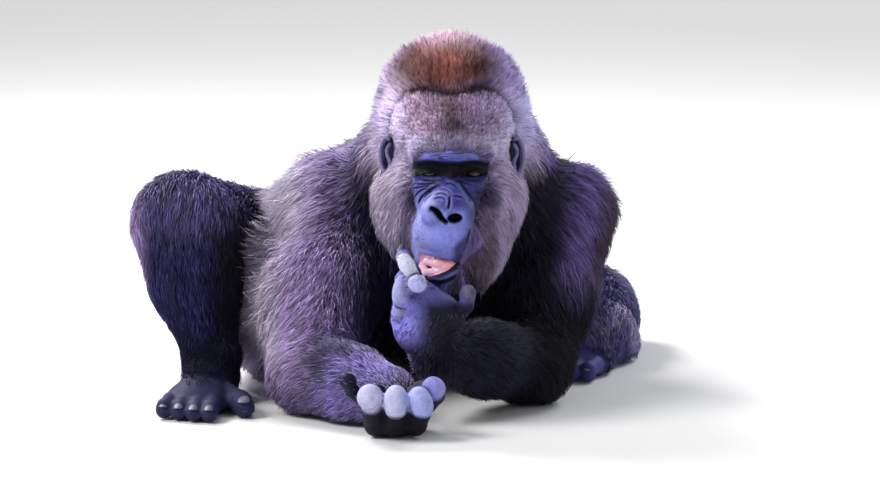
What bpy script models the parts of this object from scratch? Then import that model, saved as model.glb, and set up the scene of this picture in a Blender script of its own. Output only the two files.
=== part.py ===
"""A western lowland gorilla at life size, resting on its forearms with one hand raised to its mouth.

Units are metres. The animal faces -Y, its left side is +X, and it rests on the plane z = 0.
Every form is a blend of balls and tapered limbs: its primitives are fused by a voxel remesh, drawn on
to the smooth blended surface, thinned, and parted from its neighbours with thin cuts.
"""

import math

import bmesh
import bpy
import numpy as np
from mathutils import Matrix, Vector
from mathutils.bvhtree import BVHTree

# Clearance between neighbouring solids, and how far a cutter is grown to leave it.
GAP = 0.0004
# Faces that meet at less than this angle count as one flat.
FLAT = math.radians(0.3)
# At a sharp edge a cutter's corner moves out by at most this many times its clearance.
SHARPEST = 4.0
# A loose body with fewer vertices than this is a crumb of a cut, and is dropped.
CRUMB = 16

# Head: the eyes set its scale, and the rest is placed from the point between them.
EYE_X = 0.0287
EYE_Y = 0.1040
EYE_Z = 0.3286
EYE_RADIUS = 0.0118
CROWN_TOP = 0.5050
BROW_X = 0.0460
BROW_Y = 0.0960
BROW_Z = 0.3530
NOSE = (-0.0045, 0.0400, 0.2860)
UPPER_LIP = (-0.0030, 0.0430, 0.2520)
MOUTH = (-0.0250, 0.0200, 0.2200)
MOUTH_TILT = math.radians(10)
JAW_DEPTH = 0.1370
TOOTH_WIDTH = 0.0082
CHIN = (-0.0130, 0.0560, 0.2035)
EAR_X = 0.0960
EAR_Y = 0.2020
EAR_Z = 0.3500
EAR_HEIGHT = 0.0480
EAR_FLARE = 32.0

# Trunk: the back rises to the withers behind the head, and the hips lie behind and to the right.
WITHERS = (-0.015, 0.430, 0.240)
CHEST = (-0.005, 0.360, 0.190)
ABDOMEN = (-0.060, 0.545, 0.165)
HIPS = (-0.085, 0.670, 0.132)
NAPE = (0.0, 0.330, 0.298)
RIGHT_FLANK = (-0.212, 0.385, 0.112)
LEFT_FLANK = (0.072, 0.455, 0.135)

# Arms.
SHOULDER_X = 0.157
SHOULDER_Y = 0.388
SHOULDER_Z = 0.232
RIGHT_ELBOW = (-0.188, 0.112, 0.058)
RIGHT_WRIST = (-0.085, 0.012, 0.045)
LEFT_ELBOW = (0.105, 0.190, 0.056)
LEFT_WRIST = (-0.018, 0.046, 0.094)

# Legs: the right knee is raised, the left leg lies folded on the ground.
RIGHT_HIP = (-0.190, 0.600, 0.124)
RIGHT_KNEE = (-0.367, 0.300, 0.231)
RIGHT_ANKLE = (-0.325, 0.222, 0.052)
LEFT_HIP = (0.015, 0.625, 0.115)
LEFT_KNEE = (0.202, 0.655, 0.056)
LEFT_ANKLE = (0.216, 0.500, 0.042)
RIGHT_HEEL = (-0.325, 0.245, 0.0)
RIGHT_FOOT_HEADING = (-0.12, -1.0)
LEFT_HEEL = (0.226, 0.520, 0.0)
LEFT_FOOT_HEADING = (-0.42, -0.90)

SKIN = (0.055, 0.055, 0.075)
BARE_PAD = (0.300, 0.300, 0.380)
COAT = (0.045, 0.038, 0.052)
CROWN_COAT = (0.160, 0.070, 0.050)
EYE_COLOUR = (0.060, 0.025, 0.012)
MOUTH_COLOUR = (0.520, 0.200, 0.190)


# ---------------------------------------------------------------- blended forms


def ball(centre, radii, turn=(0.0, 0.0, 0.0)):
    """An ellipsoid. turn holds its rotation about X, Y and Z in degrees."""
    angles = [math.radians(angle) for angle in turn]
    rotation = Matrix.Rotation(angles[2], 3, "Z") @ Matrix.Rotation(angles[1], 3, "Y")
    rotation = rotation @ Matrix.Rotation(angles[0], 3, "X")
    return {"kind": "ball", "centre": Vector(centre), "radii": Vector(radii), "rotation": rotation}


def limb(start, end, start_radius, end_radius):
    """A round bar with domed ends, whose radius changes evenly along its length."""
    return {
        "kind": "limb",
        "start": Vector(start),
        "end": Vector(end),
        "radii": (start_radius, end_radius),
    }


def distance(form, points):
    """Roughly the distance of each point outside the form, negative inside it."""
    if form["kind"] == "ball":
        rotation = np.array(form["rotation"])
        local = (points - np.array(form["centre"])) @ rotation
        radii = np.array(form["radii"])
        near = np.linalg.norm(local / radii, axis=1)
        slope = np.linalg.norm(local / radii**2, axis=1)
        return near * (near - 1.0) / np.maximum(slope, 1e-9)
    start = np.array(form["start"])
    along = np.array(form["end"]) - start
    share = np.clip((points - start) @ along / (along @ along), 0.0, 1.0)
    first, last = form["radii"]
    gap = np.linalg.norm(points - start - share[:, None] * along, axis=1)
    return gap - (first + share * (last - first))


def blended(forms, blend, points):
    """How far each point lies outside the smooth union of the forms."""
    total = distance(forms[0], points)
    for form in forms[1:]:
        other = distance(form, points)
        near = np.maximum(blend - np.abs(total - other), 0.0) / blend
        total = np.minimum(total, other) - near**2 * blend / 4.0
    return total


def draw_on_to_surface(mesh, forms, blend, steps=9):
    """Moves each vertex along the slope of the blend until it lies on the blended surface."""
    points = np.empty(len(mesh.vertices) * 3)
    mesh.vertices.foreach_get("co", points)
    points = points.reshape(-1, 3)
    nudge = 0.0002
    for _ in range(steps):
        height = blended(forms, blend, points)
        slope = np.empty_like(points)
        for axis in range(3):
            shift = np.zeros(3)
            shift[axis] = nudge
            ahead = blended(forms, blend, points + shift)
            behind = blended(forms, blend, points - shift)
            slope[:, axis] = (ahead - behind) / (2.0 * nudge)
        steepness = np.maximum((slope**2).sum(axis=1), 0.15)
        points -= 0.7 * (height / steepness)[:, None] * slope
    mesh.vertices.foreach_set("co", points.reshape(-1))
    mesh.update()


def add_form(bm, form):
    """Adds the primitives of one form to a bmesh."""
    if form["kind"] == "ball":
        place = Matrix.Translation(form["centre"]) @ form["rotation"].to_4x4()
        place = place @ Matrix.Diagonal((*form["radii"], 1.0))
        bmesh.ops.create_uvsphere(bm, u_segments=24, v_segments=16, radius=1.0, matrix=place)
        return
    along = form["end"] - form["start"]
    turn = along.to_track_quat("Z", "Y").to_matrix().to_4x4()
    middle = (form["start"] + form["end"]) / 2.0
    first, last = form["radii"]
    bmesh.ops.create_cone(
        bm,
        cap_ends=True,
        segments=24,
        radius1=first,
        radius2=last,
        depth=along.length,
        matrix=Matrix.Translation(middle) @ turn,
    )
    for centre, radius in ((form["start"], first), (form["end"], last)):
        place = Matrix.Translation(centre)
        bmesh.ops.create_uvsphere(bm, u_segments=24, v_segments=16, radius=radius, matrix=place)


def new_object(name, bm, collection):
    mesh = bpy.data.meshes.new(name)
    bm.to_mesh(mesh)
    bm.free()
    made = bpy.data.objects.new(name, mesh)
    collection.objects.link(made)
    return made


def freeze(made):
    """Replaces an object's mesh by the mesh its modifiers give, and clears them."""
    bpy.context.view_layer.update()
    graph = bpy.context.evaluated_depsgraph_get()
    mesh = bpy.data.meshes.new_from_object(made.evaluated_get(graph))
    old = made.data
    made.modifiers.clear()
    made.data = mesh
    bpy.data.meshes.remove(old)
    mesh.name = made.name


def is_closed(bm):
    return all(edge.is_manifold for edge in bm.edges) and len(bm.faces) > 0


def weld(made):
    """Merges what a cut leaves doubled or split, as far as the surface stays closed."""
    for merge, flat in ((0.00002, FLAT), (0.00002, FLAT / 10), (0.000002, FLAT / 10), (0.000001, 0.0)):
        bm = bmesh.new()
        bm.from_mesh(made.data)
        bmesh.ops.remove_doubles(bm, verts=bm.verts, dist=merge)
        bmesh.ops.dissolve_degenerate(bm, dist=merge / 2, edges=bm.edges)
        if flat:
            bmesh.ops.dissolve_limit(bm, angle_limit=flat, verts=bm.verts, edges=bm.edges)
        bmesh.ops.triangulate(bm, faces=bm.faces)
        if is_closed(bm):
            bm.to_mesh(made.data)
            bm.free()
            return
        bm.free()


def grow(name, forms, faces, cell, blend=0.02):
    """One closed body: the forms fused, drawn on to their blend, thinned to about so many faces."""
    bm = bmesh.new()
    for form in forms:
        add_form(bm, form)
    made = new_object(name, bm, SOLIDS)
    remesh = made.modifiers.new("fuse", "REMESH")
    remesh.mode = "VOXEL"
    remesh.voxel_size = cell
    freeze(made)
    draw_on_to_surface(made.data, forms, blend)
    thin = made.modifiers.new("thin", "DECIMATE")
    thin.use_collapse_triangulate = True
    thin.ratio = min(1.0, faces / (2.0 * len(made.data.polygons)))
    freeze(made)
    stand_on_floor(made)
    return made


def stand_on_floor(made):
    """Cuts away what is under the floor, which leaves a flat to rest on."""
    bm = bmesh.new()
    bm.from_mesh(made.data)
    lowest = min(vert.co.z for vert in bm.verts)
    if lowest < 0.0:
        geometry = bm.verts[:] + bm.edges[:] + bm.faces[:]
        bmesh.ops.bisect_plane(
            bm,
            geom=geometry,
            dist=0.00005,
            plane_co=(0, 0, 0),
            plane_no=(0, 0, -1),
            clear_outer=True,
        )
        rim = [edge for edge in bm.edges if edge.is_boundary]
        bmesh.ops.holes_fill(bm, edges=rim)
        bmesh.ops.triangulate(bm, faces=bm.faces)
    bm.to_mesh(made.data)
    bm.free()
    weld(made)


# ---------------------------------------------------------------- cuts


def swollen_copy(made, by):
    """A cutter of the same shape, larger by a clearance all round."""
    bm = bmesh.new()
    bm.from_mesh(made.data)
    bm.normal_update()
    for vert in bm.verts:
        vert.co += vert.normal * by * min(vert.calc_shell_factor(), SHARPEST)
    cutter = new_object(made.name + "_cutter", bm, CUTTERS)
    cutter.display_type = "WIRE"
    cutter.hide_render = True
    return cutter


def cut(made, cutter, operation="DIFFERENCE"):
    boolean = made.modifiers.new("cut", "BOOLEAN")
    boolean.object = cutter
    boolean.operation = operation
    freeze(made)
    weld(made)


def hollow_out(made, hollows, segments=16, rings=10):
    """Cuts balls out of a solid, such as the eye sockets, the nostrils and the mouth."""
    for hollow in hollows:
        place = Matrix.Translation(hollow["centre"]) @ hollow["rotation"].to_4x4()
        place = place @ Matrix.Diagonal((*hollow["radii"], 1.0))
        bm = bmesh.new()
        bmesh.ops.create_uvsphere(
            bm, u_segments=segments, v_segments=rings, radius=1.0, matrix=place
        )
        cutter = new_object("hollow", bm, CUTTERS)
        cut(made, cutter)
        discard(cutter)


def surface_tree(made):
    bm = bmesh.new()
    bm.from_mesh(made.data)
    tree = BVHTree.FromBMesh(bm)
    bm.free()
    return tree


def make_room(made, neighbour, clearance):
    """Cuts the neighbour's shape out of a solid where they meet."""
    if surface_tree(neighbour).overlap(surface_tree(made)):
        cutter = swollen_copy(neighbour, clearance)
        cut(made, cutter)
        discard(cutter)


def settle(made, settled):
    """Cuts the solids that are already in place out of this one, and adds it to them."""
    for neighbour in settled:
        make_room(made, neighbour, GAP)
    settled.append(made)
    return made


def discard(made):
    mesh = made.data
    bpy.data.objects.remove(made)
    bpy.data.meshes.remove(mesh)


def blade(centre, size, turn=(0.0, 0.0, 0.0)):
    """A thin box to part two solids with. turn is its rotation about X, Y and Z in degrees."""
    angles = [math.radians(angle) for angle in turn]
    rotation = Matrix.Rotation(angles[2], 4, "Z") @ Matrix.Rotation(angles[1], 4, "Y")
    rotation = rotation @ Matrix.Rotation(angles[0], 4, "X")
    bm = bmesh.new()
    bmesh.ops.create_cube(
        bm,
        size=1.0,
        matrix=Matrix.Translation(centre) @ rotation @ Matrix.Diagonal((*size, 1.0)),
    )
    made = new_object("blade", bm, CUTTERS)
    made.display_type = "WIRE"
    made.hide_render = True
    return made


def facing_blade(centre, normal, width):
    """A thin square blade that faces along the normal."""
    turn = Vector(normal).to_track_quat("Z", "Y").to_matrix().to_4x4()
    bm = bmesh.new()
    bmesh.ops.create_cube(
        bm,
        size=1.0,
        matrix=Matrix.Translation(centre) @ turn @ Matrix.Diagonal((width, width, GAP, 1.0)),
    )
    made = new_object("blade", bm, CUTTERS)
    made.display_type = "WIRE"
    made.hide_render = True
    return made


def loose_bodies(made):
    """The vertex sets of the bodies that an object's mesh is made of."""
    bm = bmesh.new()
    bm.from_mesh(made.data)
    bm.verts.ensure_lookup_table()
    unseen = set(range(len(bm.verts)))
    bodies = []
    while unseen:
        body = set()
        edge_of_search = [unseen.pop()]
        while edge_of_search:
            index = edge_of_search.pop()
            body.add(index)
            for edge in bm.verts[index].link_edges:
                other = edge.other_vert(bm.verts[index]).index
                if other in unseen:
                    unseen.remove(other)
                    edge_of_search.append(other)
        bodies.append(body)
    bm.free()
    return bodies


def part(made, blades, names):
    """Parts an object along its blades. names gives each piece and a point near its middle."""
    for each in blades:
        cut(made, each)
        discard(each)
    pieces = {}
    for body in sorted(loose_bodies(made), key=len, reverse=True):
        bm = bmesh.new()
        bm.from_mesh(made.data)
        bm.verts.ensure_lookup_table()
        dropped = [vert for vert in bm.verts if vert.index not in body]
        bmesh.ops.delete(bm, geom=dropped, context="VERTS")
        middle = sum((vert.co for vert in bm.verts), Vector()) / len(bm.verts)
        name = min(names, key=lambda key: (Vector(names[key]) - middle).length)
        if len(body) < CRUMB or name in pieces:
            bm.free()
            continue
        pieces[name] = new_object(name, bm, SOLIDS)
    discard(made)
    return pieces


# ---------------------------------------------------------------- the animal


def make_eyes():
    eyes = []
    for name, x in (("right_eye", -EYE_X), ("left_eye", EYE_X)):
        bm = bmesh.new()
        place = Matrix.Translation((x, EYE_Y, EYE_Z)) @ Matrix.Rotation(math.pi / 2, 4, "X")
        bmesh.ops.create_uvsphere(
            bm, u_segments=10, v_segments=7, radius=EYE_RADIUS, matrix=place
        )
        eyes.append(new_object(name, bm, SOLIDS))
    return eyes


def make_ears():
    """Small cupped ears, set close to the head and open to the front and side."""
    ears = []
    for name, side in (("right_ear", -1.0), ("left_ear", 1.0)):
        turn = (0.0, 0.0, -side * EAR_FLARE)
        shell = ball((side * EAR_X, EAR_Y, EAR_Z), (0.0085, 0.0170, EAR_HEIGHT / 2), turn)
        cup_place = (side * (EAR_X + 0.0060), EAR_Y - 0.0065, EAR_Z + 0.0010)
        cup = ball(cup_place, (0.0060, 0.0100, EAR_HEIGHT * 0.32), turn)
        ear = grow(name, [shell], 46, 0.0022, 0.004)
        hollow_out(ear, [cup], 8, 5)
        ears.append(ear)
    return ears


def make_tongue():
    place = (MOUTH[0], MOUTH[1] + 0.0310, MOUTH[2] - 0.0075)
    return grow("tongue", [ball(place, (0.0160, 0.0240, 0.0065), (8, 0, 0))], 44, 0.0025, 0.004)


def head_forms():
    forms = []
    # The crown's coat is broad and flat on top, and wider behind the ears than in front of them.
    for side in (-1.0, 1.0):
        forms.append(ball((side * 0.032, 0.264, 0.383), (0.079, 0.098, CROWN_TOP - 0.397)))
        forms.append(ball((side * 0.022, 0.205, 0.383), (0.064, 0.088, 0.106)))
        forms.append(ball((side * 0.058, 0.170, 0.276), (0.050, 0.078, 0.080), (0, side * 8, 0)))
        forms.append(ball((side * 0.036, 0.100, 0.300), (0.034, 0.040, 0.036)))
    forms.append(ball((0.0, 0.250, 0.390), (0.074, 0.098, CROWN_TOP - 0.390)))
    forms.append(ball((0.0, 0.160, 0.372), (0.079, 0.078, 0.062)))
    forms.append(limb((-BROW_X, BROW_Y, BROW_Z), (BROW_X, BROW_Y, BROW_Z), 0.0205, 0.0205))
    forms.append(ball((0.0, 0.130, 0.255), (0.072, 0.075, 0.075)))
    forms.append(limb((0.0, 0.094, 0.330), NOSE, 0.0200, 0.0260))
    forms.append(ball(NOSE, (0.0375, 0.0410, 0.0290)))
    forms.append(ball(UPPER_LIP, (0.0465, 0.0480, 0.0310)))
    forms.append(ball(CHIN, (0.0380, 0.0450, 0.0250)))
    forms.append(ball((0.016, 0.120, 0.216), (0.052, 0.070, 0.050)))
    return forms


def head_hollows():
    hollows = []
    for side in (-1.0, 1.0):
        # The sockets lie deep under the brow.
        hollows.append(ball((side * EYE_X, 0.0760, EYE_Z), (0.0235, 0.0225, 0.0105)))
        nostril = (NOSE[0] + side * 0.0125, NOSE[1] - 0.0400, NOSE[2] - 0.0060)
        hollows.append(ball(nostril, (0.0085, 0.0100, 0.0060)))
    hollows.append(ball((MOUTH[0] - 0.004, MOUTH[1], MOUTH[2]), (0.0160, 0.0330, 0.0145)))
    hollows.append(ball((MOUTH[0] + 0.014, MOUTH[1], MOUTH[2] - 0.001), (0.0180, 0.0300, 0.0070)))
    return hollows


def make_head():
    head = grow("whole_head", head_forms(), 840, 0.0042, 0.020)
    hollow_out(head, head_hollows(), 10, 6)
    return head


def tooth(centre, lean):
    bm = bmesh.new()
    bmesh.ops.create_cone(
        bm,
        cap_ends=True,
        segments=6,
        radius1=TOOTH_WIDTH * 0.48,
        radius2=TOOTH_WIDTH * 0.34,
        depth=TOOTH_WIDTH * 1.7,
        matrix=Matrix.Translation(centre) @ Matrix.Rotation(lean, 4, "X"),
    )
    return new_object("tooth", bm, CUTTERS)


def part_head(whole):
    """Parts the lower jaw from the head along the slanting mouth, and sets the front teeth."""
    tilt = math.degrees(MOUTH_TILT)
    pieces = part(
        whole,
        [
            blade((0.0, JAW_DEPTH / 2 - 0.025, MOUTH[2]), (0.260, JAW_DEPTH + 0.05, GAP), (0, tilt, 0)),
            blade((0.0, JAW_DEPTH, MOUTH[2] - 0.070), (0.260, GAP, 0.1402), (0, tilt, 0)),
        ],
        {"head": (0.0, 0.17, 0.34), "lower_jaw": (0.0, 0.07, 0.195)},
    )
    for count in range(3):
        x = MOUTH[0] - 0.0075 + TOOTH_WIDTH * count
        upper = tooth((x, MOUTH[1] - 0.001, MOUTH[2] + 0.0130), math.pi)
        cut(pieces["head"], upper, "UNION")
        discard(upper)
        lower = tooth((x, MOUTH[1] + 0.002, MOUTH[2] - 0.0135), 0.0)
        cut(pieces["lower_jaw"], lower, "UNION")
        discard(lower)
    return pieces


def finger(name, joints, radius):
    """A finger is a chain of phalanges along its joints."""
    forms = [
        limb(start, end, radius, radius * 0.96) for start, end in zip(joints, joints[1:])
    ]
    return grow(name, forms, 50, 0.0032, radius * 0.6)


def right_hand_forms():
    """The right hand lies on the ground, its fingers curled with their last joints to the front."""
    fingers = {
        "right_index": (
            [
                (-0.098, -0.038, 0.040),
                (-0.104, -0.082, 0.046),
                (-0.106, -0.084, 0.064),
                (-0.098, -0.058, 0.071),
            ],
            0.0165,
        ),
        "right_middle": (
            [
                (-0.078, -0.045, 0.034),
                (-0.071, -0.089, 0.040),
                (-0.073, -0.090, 0.064),
                (-0.072, -0.060, 0.070),
            ],
            0.0165,
        ),
        "right_ring": (
            [
                (-0.052, -0.042, 0.034),
                (-0.036, -0.083, 0.041),
                (-0.043, -0.088, 0.064),
                (-0.048, -0.058, 0.070),
            ],
            0.0165,
        ),
        "right_little": (
            [
                (-0.030, -0.030, 0.044),
                (-0.018, -0.056, 0.058),
                (-0.029, -0.066, 0.073),
                (-0.040, -0.044, 0.074),
            ],
            0.0135,
        ),
        "right_thumb": (
            [
                (-0.114, -0.010, 0.056),
                (-0.128, -0.034, 0.064),
                (-0.146, -0.042, 0.072),
            ],
            0.0115,
        ),
    }
    palm = [
        ball((-0.075, -0.020, 0.034), (0.045, 0.038, 0.032), (0, 0, 18)),
        limb(RIGHT_WRIST, (-0.078, -0.010, 0.036), 0.034, 0.034),
        ball((-0.076, -0.045, 0.016), (0.042, 0.038, 0.020), (0, 0, 14)),
    ]
    return fingers, palm


def left_hand_forms():
    """The left hand is raised to the mouth, with its back and its knuckle pads to the front."""
    fingers = {
        "left_index": (
            [
                (-0.026, -0.012, 0.182),
                (-0.044, -0.034, 0.202),
                (-0.054, -0.030, 0.219),
                (-0.064, -0.022, 0.235),
            ],
            0.0122,
        ),
        "left_middle": (
            [
                (-0.048, -0.010, 0.174),
                (-0.067, -0.022, 0.183),
                (-0.068, -0.010, 0.204),
                (-0.060, 0.004, 0.212),
            ],
            0.0112,
        ),
        "left_ring": (
            [
                (-0.060, -0.002, 0.153),
                (-0.070, -0.008, 0.162),
                (-0.072, 0.010, 0.176),
            ],
            0.0105,
        ),
        "left_little": (
            [
                (-0.062, 0.014, 0.140),
                (-0.071, 0.016, 0.148),
                (-0.072, 0.032, 0.160),
            ],
            0.0098,
        ),
        "left_thumb": (
            [
                (0.010, 0.002, 0.156),
                (0.019, -0.004, 0.170),
                (0.0205, -0.002, 0.188),
            ],
            0.0105,
        ),
    }
    palm = [
        ball((-0.042, 0.008, 0.146), (0.036, 0.027, 0.043), (0, 12, 0)),
        ball((-0.010, 0.006, 0.158), (0.030, 0.021, 0.021), (0, 40, 0)),
        limb(LEFT_WRIST, (-0.040, 0.020, 0.135), 0.031, 0.031),
    ]
    return fingers, palm


def make_hand(forms, palm_name):
    """Five fingers and the palm that holds them."""
    fingers, palm = forms
    made = [finger(name, joints, radius) for name, (joints, radius) in fingers.items()]
    made.append(grow(palm_name, palm, 90, 0.0050, 0.015))
    return made


def make_arm(side, shoulder, elbow, wrist):
    shoulder, elbow, wrist = Vector(shoulder), Vector(elbow), Vector(wrist)
    upper_middle = shoulder.lerp(elbow, 0.5)
    forearm_middle = elbow.lerp(wrist, 0.5)
    forms = [
        ball(shoulder, (0.083, 0.092, 0.093)),
        limb(shoulder, upper_middle, 0.082, 0.078),
        limb(upper_middle, elbow, 0.078, 0.058),
        ball(elbow + Vector((side * 0.004, 0.018, -0.004)), (0.056, 0.056, 0.056)),
        limb(elbow, forearm_middle, 0.056, 0.052),
        limb(forearm_middle, wrist, 0.052, 0.041),
    ]
    return grow("whole_arm", forms, 240, 0.0085, 0.025)


def make_foot(side, heel, heading, name):
    """A foot flat on the ground, its big toe set apart on the inner side."""
    heel = Vector(heel)
    ahead = Vector((*heading, 0.0)).normalized()
    inward = Vector((ahead.y * side, -ahead.x * side, 0.0))

    def at(forward, across, height):
        place = heel + ahead * forward + inward * across
        return (place.x, place.y, height)

    toes = []
    for count in range(4):
        across = 0.022 - 0.019 * count
        reach = 0.196 - 0.008 * count - (0.006 if count == 0 else 0.0)
        toes.append(limb(at(0.140, across, 0.019), at(reach, across * 1.12, 0.0125), 0.0135, 0.0115))
    big_toe = [
        limb(at(0.085, 0.026, 0.021), at(0.125, 0.056, 0.017), 0.0175, 0.0155),
        limb(at(0.125, 0.056, 0.017), at(0.150, 0.066, 0.0145), 0.0155, 0.0140),
    ]
    sole = [
        ball(at(0.0, 0.0, 0.024), (0.033, 0.033, 0.030)),
        limb(at(0.0, 0.0, 0.030), at(0.115, 0.0, 0.022), 0.034, 0.028),
        ball(at(0.118, -0.002, 0.018), (0.044, 0.044, 0.025)),
        limb(at(0.020, 0.0, 0.050), at(0.070, 0.0, 0.035), 0.034, 0.030),
    ]
    return [
        grow(name + "_big_toe", big_toe, 50, 0.0040, 0.008),
        grow(name + "_toes", toes, 120, 0.0036, 0.006),
        grow(name + "_foot", sole, 90, 0.0060, 0.015),
    ]


def make_leg(hip, knee, ankle, thickness):
    hip, knee, ankle = Vector(hip), Vector(knee), Vector(ankle)
    thigh_radius, knee_radius, calf_radius, ankle_radius = thickness
    calf = knee.lerp(ankle, 0.42)
    forms = [
        limb(hip, knee, thigh_radius, knee_radius),
        limb(knee, calf, knee_radius * 0.97, calf_radius),
        limb(calf, ankle, calf_radius, ankle_radius),
    ]
    return grow("whole_leg", forms, 205, 0.0095, 0.025)


def part_at_bend(whole, root, bend, tip, names):
    """Parts a bent limb at its elbow or knee, on the plane that halves the bend."""
    root, bend, tip = Vector(root), Vector(bend), Vector(tip)
    halving = ((root - bend).normalized() - (tip - bend).normalized()).normalized()
    places = {names[0]: root.lerp(bend, 0.45), names[1]: bend.lerp(tip, 0.6)}
    return part(whole, [facing_blade(bend + halving * 0.012, halving, 0.50)], places)


def make_trunk():
    forms = [
        ball(NAPE, (0.152, 0.122, 0.126)),
        ball(WITHERS, (0.168, 0.160, 0.116)),
        ball(CHEST, (0.185, 0.150, 0.142)),
        ball(RIGHT_FLANK, (0.108, 0.128, 0.132)),
        ball(LEFT_FLANK, (0.100, 0.130, 0.110)),
        ball(ABDOMEN, (0.200, 0.170, 0.168)),
        ball(HIPS, (0.178, 0.145, 0.146)),
    ]
    return grow("whole_trunk", forms, 345, 0.0120, 0.045)


def part_trunk(whole):
    return part(
        whole,
        [
            blade((-0.05, 0.468, 0.20), (0.80, GAP, 0.60)),
            blade((-0.05, 0.612, 0.20), (0.80, GAP, 0.60)),
            neck_shell(),
        ],
        {
            "neck": (0.0, 0.300, 0.340),
            "chest": (-0.030, 0.370, 0.150),
            "abdomen": (-0.050, 0.540, 0.160),
            "hips": (-0.080, 0.700, 0.130),
        },
    )


def neck_shell():
    """A thin-walled ball round the root of the neck, which parts it from the chest."""
    bm = bmesh.new()
    for grown, turned in ((GAP, False), (0.0, True)):
        made = bmesh.ops.create_uvsphere(
            bm,
            u_segments=14,
            v_segments=8,
            radius=0.150 + grown,
            matrix=Matrix.Translation((0.0, 0.268, 0.352)),
        )
        if turned:
            faces = {face for vert in made["verts"] for face in vert.link_faces}
            bmesh.ops.reverse_faces(bm, faces=list(faces))
    shell = new_object("neck_shell", bm, CUTTERS)
    shell.display_type = "WIRE"
    shell.hide_render = True
    return shell


def paint(made):
    """Gives a solid its own material, by what part of the animal it is."""
    name = made.name
    shade, roughness = COAT, 0.85
    if name.endswith("_eye"):
        shade, roughness = EYE_COLOUR, 0.12
    elif name == "tongue":
        shade, roughness = MOUTH_COLOUR, 0.35
    elif name == "head":
        shade, roughness = CROWN_COAT, 0.80
    elif name.endswith(("_index", "_middle", "_ring", "_little", "_thumb")):
        shade, roughness = BARE_PAD, 0.55
    elif name.endswith(("_foot", "_toes", "_toe", "_ear")):
        shade, roughness = SKIN, 0.60
    material = bpy.data.materials.new(name)
    material.use_nodes = True
    shader = material.node_tree.nodes["Principled BSDF"]
    shader.inputs["Base Color"].default_value = (*shade, 1.0)
    shader.inputs["Roughness"].default_value = roughness
    shader.inputs["Metallic"].default_value = 0.0
    made.data.materials.clear()
    made.data.materials.append(material)


def centre_on_floor(solids):
    """Puts the origin at the middle of the animal's footprint."""
    corners = [vert.co for made in solids for vert in made.data.vertices]
    low = Vector(min(corner[axis] for corner in corners) for axis in range(3))
    high = Vector(max(corner[axis] for corner in corners) for axis in range(3))
    shift = Matrix.Translation((-(low.x + high.x) / 2, -(low.y + high.y) / 2, -low.z))
    for made in solids:
        made.data.transform(shift)
        made.data.update()


def new_collection(name):
    made = bpy.data.collections.new(name)
    bpy.context.scene.collection.children.link(made)
    return made


for startup in list(bpy.data.objects):
    bpy.data.objects.remove(startup)
SOLIDS = new_collection("gorilla")
CUTTERS = new_collection("cutters")


def main():
    right_shoulder = (-SHOULDER_X, SHOULDER_Y, SHOULDER_Z)
    left_shoulder = (SHOULDER_X - 0.015, SHOULDER_Y, SHOULDER_Z - 0.006)
    small_pieces = [
        *make_eyes(),
        *make_ears(),
        make_tongue(),
        *make_hand(right_hand_forms(), "right_palm"),
        *make_hand(left_hand_forms(), "left_palm"),
        *make_foot(-1.0, RIGHT_HEEL, RIGHT_FOOT_HEADING, "right"),
        *make_foot(1.0, LEFT_HEEL, LEFT_FOOT_HEADING, "left"),
    ]
    settled = []
    for piece in small_pieces:
        settle(piece, settled)
    head = settle(make_head(), settled)
    right_arm = settle(make_arm(-1.0, right_shoulder, RIGHT_ELBOW, RIGHT_WRIST), settled)
    left_arm = settle(make_arm(1.0, left_shoulder, LEFT_ELBOW, LEFT_WRIST), settled)
    right_leg = settle(
        make_leg(RIGHT_HIP, RIGHT_KNEE, RIGHT_ANKLE, (0.094, 0.073, 0.064, 0.036)), settled
    )
    left_leg = settle(
        make_leg(LEFT_HIP, LEFT_KNEE, LEFT_ANKLE, (0.092, 0.062, 0.058, 0.038)), settled
    )
    trunk = settle(make_trunk(), settled)

    part_head(head)
    names = ("right_upper_arm", "right_forearm")
    part_at_bend(right_arm, right_shoulder, RIGHT_ELBOW, RIGHT_WRIST, names)
    names = ("left_upper_arm", "left_forearm")
    part_at_bend(left_arm, left_shoulder, LEFT_ELBOW, LEFT_WRIST, names)
    part_at_bend(right_leg, RIGHT_HIP, RIGHT_KNEE, RIGHT_ANKLE, ("right_thigh", "right_shin"))
    part_at_bend(left_leg, LEFT_HIP, LEFT_KNEE, LEFT_ANKLE, ("left_thigh", "left_shin"))
    part_trunk(trunk)
    solids = list(SOLIDS.objects)
    for place, made in enumerate(solids):
        # Thinning can leave a corner that still touches a neighbour.
        for neighbour in solids[:place]:
            make_room(made, neighbour, 1.8 * GAP)
        paint(made)
    centre_on_floor(SOLIDS.objects)


main()
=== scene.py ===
"""A western lowland gorilla at life size: one skin, its coat, eyes, teeth, tongue and nails.

Shapes are worked out in the animal's own frame, in metres: +X to its left, +Y to its rump, the floor at
z = 0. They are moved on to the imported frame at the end, by the place of its eyes.
"""

import math

import bmesh
import bpy
import numpy as np
from mathutils import Matrix, Vector


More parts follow.
